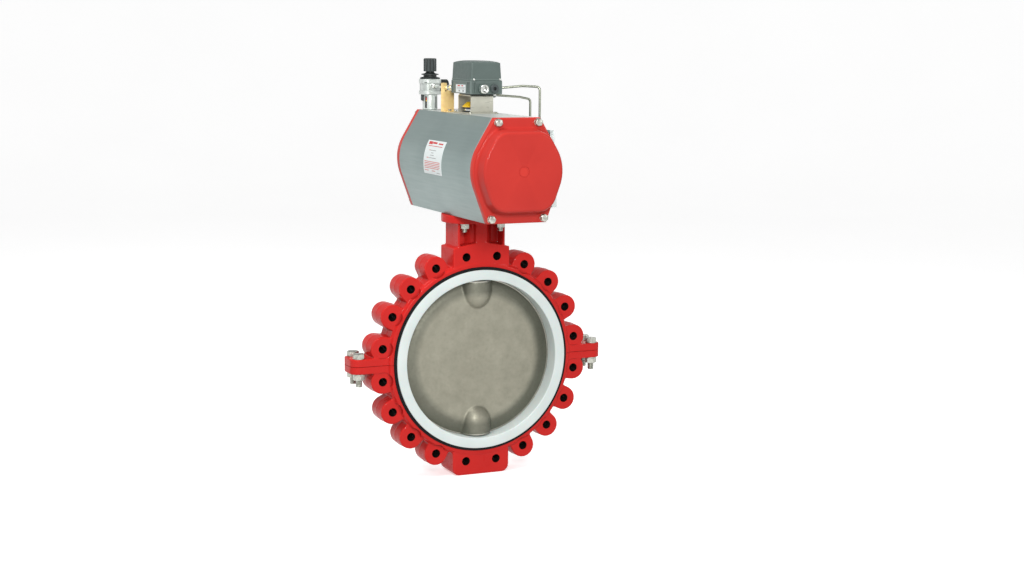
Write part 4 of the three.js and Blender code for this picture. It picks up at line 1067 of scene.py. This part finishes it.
for name, run in TUBE_RUNS.items():
    bent = sweep(run, TUBE_R, 12, 24)
    piece(f"bent_air_tube_{name}", bent, ROOT, TUBE, f"air_tube_{name}")
    (x0, y0, z0), (_, y1, z1) = run[0], run[-1]
    nuts = [tube_nut(x0 + 0.4, x0 + 9, 2, (0, y0, z0)), tube_nut(PORT_FACE + 0.1, 157.5, 2.5, (0, y1, z1))]
    piece(f"tube_nuts_{name}", merged(*nuts), ROOT, NICKEL)


# ---------------------------------------------------------------- filter regulator
def square_rings(rows):
    """Rounded squares about the regulator's axis. A row is (z, half width, corner radius)."""
    rings = [in_axis(rectangle(REG_X - h, REG_Y - h, REG_X + h, REG_Y + h, r, 8), z, "z") for z, h, r in rows]
    return skin(rings)


reg_rows = [(789.6, 29.6, 17), (791, 31, 18), (799.8, 31, 18), (801.2, 30.0, 17.4), (802, 28.5, 16),
            (823, 28.5, 16), (823.8, 30.0, 17.4), (825.2, 31, 18), (836.2, 31, 18), (837.6, 29.8, 17)]
regulator = make_object("regulator_block", square_rings(reg_rows))
recesses = [(228, 826, 10, 2.2), (203, 818, 2.6, 7), (252, 806, 12, 1.6), (265, 818.5, 14, 1.2),
            (48, 826, 10, 2.2), (68, 812, 2.6, 7)]
for degrees, z, wide, tall in recesses:
    cutter = block((24, -wide / 2, z), (40, wide / 2, z + tall), 0.3)
    carve(regulator, turned(cutter, "Z", degrees, AT_REG))
PORT_R = 7.6
carve(regulator, *[rod("y", PORT_R, y, y + 9, AT_PORTS, 48) for y in (-33, 24)])
port_bosses = [tube("y", PORT_R, 11.5, y, y + 4.6, AT_PORTS, 64, 0.6) for y in (-30.6, 26)]
carve(regulator, *port_bosses, operation="UNION")
finish_piece(regulator, ROOT, SILVER, "regulator_body", sharp=32)

collar = rounded([(8.4, 838), (31.3, 838), (31.3, 841.2), (28, 843.5), (20.5, 844.5), (20.5, 850),
                  (27, 850.5), (27, 853.5), (18.5, 855), (13, 858), (13, 863), (8.4, 863)],
                 [0, 0.6, 0.8, 1.2, 0.6, 0.4, 0.6, 0.6, 0.8, 1.0, 0.5, 0], 3)
bonnet = make_object("bonnet", lathe("z", collar, 96, AT_REG, closed=True))
notches = [turned(block((28.8, -2.2, 836), (36, 2.2, 842)), "Z", d, AT_REG) for d in range(20, 380, 45)]
carve(bonnet, merged(*notches))
finish_piece(bonnet, ROOT, BLACK, "regulator_bonnet", sharp=32)
screw = thread("z", 8, 0.8, 2.0, 838.4, 889, AT_REG, 40, 1.5)
piece("pressure_screw", screw, "adjusting_screw", ZINC, "adjusting_screw")


def fluted(radius, depth):
    """A ring about the regulator's axis, with round-bottomed flutes and rounded lands between them."""
    sides, flutes, ring = 240, 10, []
    for k in range(sides):
        angle = TAU * k / sides
        wave = 0.5 - 0.5 * math.cos(flutes * angle)
        reach = radius - depth * max(0.0, 1 - wave * 2.2) ** 0.8
        ring.append((REG_X + reach * math.cos(angle), REG_Y + reach * math.sin(angle)))
    return ring


def knob():
    """The knob as one closed skin: blind bore, wider mouth, fluted outside and dished top."""
    low, mouth, ceiling, top = 861, 868, 893, 901.2
    bore = [(ceiling, 8.4, 0), (mouth, 8.4, 0), (mouth, 14.5, 0), (low, 14.5, 0)]
    outside = [(low, 19.2, 1.2), (862.1, 20.2, 2.2), (898.6, 20.2, 2.2), (900.6, 19.4, 1.8),
               (901.6, 17.6, 1.0), (901.8, 15.8, 0.0), (901.8, 13.6, 0.0), (top, 13.0, 0.0)]
    rings = [in_axis(fluted(radius, depth), z, "z") for z, radius, depth in bore + outside]
    centre = [(REG_X, REG_Y)]
    return skin([in_axis(centre, ceiling, "z"), *rings, in_axis(centre, top, "z")])


piece("fluted_knob", knob(), "knob", BLACK, "regulator_knob", sharp=28)

bowl_profile = rounded([(0, 743), (23.3, 743), (23.3, 789.3), (20.6, 789.3), (20.6, 747), (0, 747)],
                       [0, 1.6, 0.8, 0.5, 1, 0], 4, closed=False)
bowl = make_object("bowl_guard", lathe("z", bowl_profile, 96, AT_REG))
slot = prism("x", rectangle(-4, 747, 4, 785, 3.4), 10, 30)
carve(bowl, *[turned(slot, "Z", degrees, AT_REG) for degrees in (35, 125, 215, 305)])
finish_piece(bowl, ROOT, SILVER, "filter_bowl", sharp=32)
inner_bowl = rounded([(0, 747.2), (16, 747.2), (20.3, 751), (20.3, 789.2), (0, 789.2)], [0, 3, 3, 0.5, 0], 4,
                     closed=False)
piece("inner_bowl", lathe("z", inner_bowl, 72, AT_REG), ROOT, SMOKED)
for name, half, low, high, material in (("bowl_red_mark", 2.2, 773.5, 780.5, SIGNAL),
                                        ("bowl_yellow_mark", 2.0, 768.5, 772.8, YELLOW)):
    mark = prism("x", rectangle(-half, low, half, high, 1), 19.6, 20.8)
    piece(name, turned(mark, "Z", 215, AT_REG), ROOT, material)
latch_outline = rounded([(-66.8, 770), (-69.2, 770), (-72, 773.5), (-72, 786), (-70.8, 789.2),
                         (-66.8, 789.2)], [0.3, 0.8, 1.5, 1.5, 0.8, 0.3], 3)
latch = make_object("latch", prism("y", latch_outline, 263.2, 274.8, 0.6))
carve(latch, merged(*[block((-73, 262, 775.5 + 2.6 * k), (-71.3, 276, 776.6 + 2.6 * k)) for k in range(4)]))
finish_piece(latch, "latch", BLACK, "bowl_latch")

at_gauge = (0, REG_Y, PORT_Z)
case = rounded([(0, -8), (18, -8), (20, -6), (20, 13), (18.6, 14.2), (17.2, 14.2), (17.2, 12.4), (0, 12.4)],
               [0, 1, 1, 0.8, 0.6, 0.3, 0.3, 0], 3, closed=False)
gauge_case = make_object("gauge_case", lathe("x", case, 96, at_gauge))
carve(gauge_case, rod("x", 5, -11.7, -7, at_gauge, 32, 0.4), operation="UNION")
finish_piece(gauge_case, ROOT, BLACK, "pressure_gauge", sharp=32)
piece("gauge_dial", rod("x", 17.0, 12.5, 12.9, at_gauge, 72), ROOT, LABEL)
ticks, divisions, scale_r = [], 24, 15.8
for k in range(divisions + 1):
    angle = 225 - 270 * k / divisions
    length = 3.2 if k % 4 == 0 else 1.6
    tick = block((12.85, scale_r - length, -0.22), (13.05, scale_r, 0.22))
    ticks.append(turned(tick, "X", angle, at_gauge))
needle = turned(block((13.1, -4, -0.5), (13.4, 12, 0.5)), "X", 140, at_gauge)
hands = merged(*ticks, needle, rod("x", 2.0, 12.8, 13.8, at_gauge, 24, 0.3))
piece("gauge_ticks_and_needle", hands, ROOT, BLACK)

nipple = merged(rod("y", 5.5, 70.3, 240.2, AT_NIPPLE, 48, 0.5),
                hexagon("y", 14, 78, 112, AT_NIPPLE, chamfer_low=True, turn=0.2),
                thread("y", 6.1, 0.7, 1.4, 71, 77.5, AT_NIPPLE, 32, 1.2),
                thread("y", 7.2, 0.8, 1.4, 224, 240.1, AT_NIPPLE, 32, 1.2),
                rod("y", 6.6, 112, 116, AT_NIPPLE, 48, 0.6))
piece("supply_nipple_and_union", nipple, ROOT, NICKEL, "supply_nipple")

x_low, x_step, x_high, z_step = -71.5, -52.8, -29.4, 807.5
plate = rounded([(x_low, FOOT_Z), (x_high, FOOT_Z), (x_high, z_step), (x_step, z_step), (x_step, 830),
                 (x_low, 830)], [0, 0, 2.5, 2, 2.5, 2.5], 5)
gilt = make_object("gilt_bracket", prism("y", plate, 100, 103, 0.3))
fold = rounded([(70, FOOT_Z), (103, FOOT_Z), (103, 752), (100, 752), (100, FOOT_TOP), (70, FOOT_TOP)],
               [1, 3.4, 0, 0, 0.6, 1], 5)
carve(gilt, prism("x", fold, x_low, x_high, 0.3), operation="UNION")
foot = (-50, 84, 0)
carve(gilt, merged(rod("y", 2.6, 95, 110, (-56, 0, 806), 24), rod("z", 3.2, 740, 750, foot, 24)))
finish_piece(gilt, ROOT, GILT, "regulator_bracket", sharp=30)
foot_screw = merged(hexagon("z", 10, FOOT_TOP + 0.2, 751, foot, turn=0.3), rod("z", 3, 742, 747, foot, 16))
piece("gilt_bracket_screw", foot_screw, ROOT, ZINC)


# ---------------------------------------------------------------- CAD nodes that stay as they are
KEPT_NODES = {"upper_stem_bearing": BRONZE, "lower_stem_bearing": BRONZE, "stem_packing": RUBBER,
              "gland_retainer": ZINC, "pinion": TURNED, "stem_coupling": TURNED,
              "pinion_lower_bearing": BLACK, "pinion_upper_bearing": BLACK, "front_piston": MILLED,
              "rear_piston": MILLED, "front_piston_ring": RUBBER, "rear_piston_ring": RUBBER}
for name, material in KEPT_NODES.items():
    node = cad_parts[name]
    node.data.materials.clear()
    node.data.materials.append(material)


# ---------------------------------------------------------------- floor, light and camera
def floor_look():
    look = Look("floor", Specular_IOR_Level=0.2, Emission_Color=(1, 1, 1, 1), Emission_Strength=0.45)
    look.colour(two_tone(look, srgb(246, 246, 246), srgb(251, 251, 251), 800, 40))
    look.worn(120, 0.7, 0.85, detail=2.0)
    return look.material


flat_r, sweep_r, thickness = 8000, 4000, 300
floor_rows = [(r, FLOOR_Z) for r in (0, 1500, 4000, flat_r)]
floor_rows += [(flat_r + sweep_r * math.sin(t), FLOOR_Z + sweep_r * (1 - math.cos(t)))
               for t in (math.radians(10 * k) for k in range(1, 9))]
under = [(r + thickness, z - thickness) for r, z in reversed(floor_rows[1:])] + [(0, FLOOR_Z - thickness)]
floor = make_object("floor", lathe("z", floor_rows + under, 96))
floor.data.materials.append(floor_look())
floor.data.shade_smooth()
floor.visible_diffuse = False

scene = bpy.context.scene
scene.view_settings.view_transform = "Standard"
world = bpy.data.worlds.new("studio")
scene.world = world
world.use_nodes = True
background = world.node_tree.nodes["Background"]
background.inputs["Color"].default_value = (1.0, 1.0, 1.0, 1.0)
background.inputs["Strength"].default_value = 0.49


def area_light(name, place, target, size, power):
    data = bpy.data.lights.new(name, "AREA")
    data.shape = "RECTANGLE"
    data.size, data.size_y = size
    data.energy = power
    lamp = bpy.data.objects.new(name, data)
    scene.collection.objects.link(lamp)
    lamp.location = place
    lamp.rotation_euler = (Vector(target) - Vector(place)).to_track_quat("-Z", "Y").to_euler()


area_light("key", (-1.5, -4.6, 2.0), (0, 0, 0.25), (1.2, 1.2), 152)
area_light("fill", (2.8, -3.8, 1.5), (0, 0, 0.2), (0.8, 1.4), 20)
area_light("overhead", (-1.8, -0.6, 3.5), (0, 0, 0.3), (2.0, 1.6), 75)
area_light("rim", (2.4, 2.6, 2.6), (0, 0, 0.3), (2.0, 1.4), 20)

FOCAL_PIXELS, PICTURE_WIDTH, SENSOR_WIDTH = 1717.5, 1024, 36
CAMERA_PLACE = (-1.989, -4.7855, 0.9647)
YAW, PITCH, ROLL = 0.4157, -0.1443, 0.0068
forward = Vector((math.sin(YAW) * math.cos(PITCH), math.cos(YAW) * math.cos(PITCH), math.sin(PITCH)))
level = Vector((math.cos(YAW), -math.sin(YAW), 0))
upward = level.cross(forward)
right = level * math.cos(ROLL) + upward * math.sin(ROLL)
up = upward * math.cos(ROLL) - level * math.sin(ROLL)
camera_data = bpy.data.cameras.new("camera")
camera_data.sensor_width = SENSOR_WIDTH
camera_data.lens = SENSOR_WIDTH * FOCAL_PIXELS / PICTURE_WIDTH
camera_data.clip_end = 100
camera = bpy.data.objects.new("camera", camera_data)
scene.collection.objects.link(camera)
rotation = Matrix((right, up, -forward)).transposed()
camera.matrix_world = Matrix.Translation(CAMERA_PLACE) @ rotation.to_4x4()
scene.camera = camera
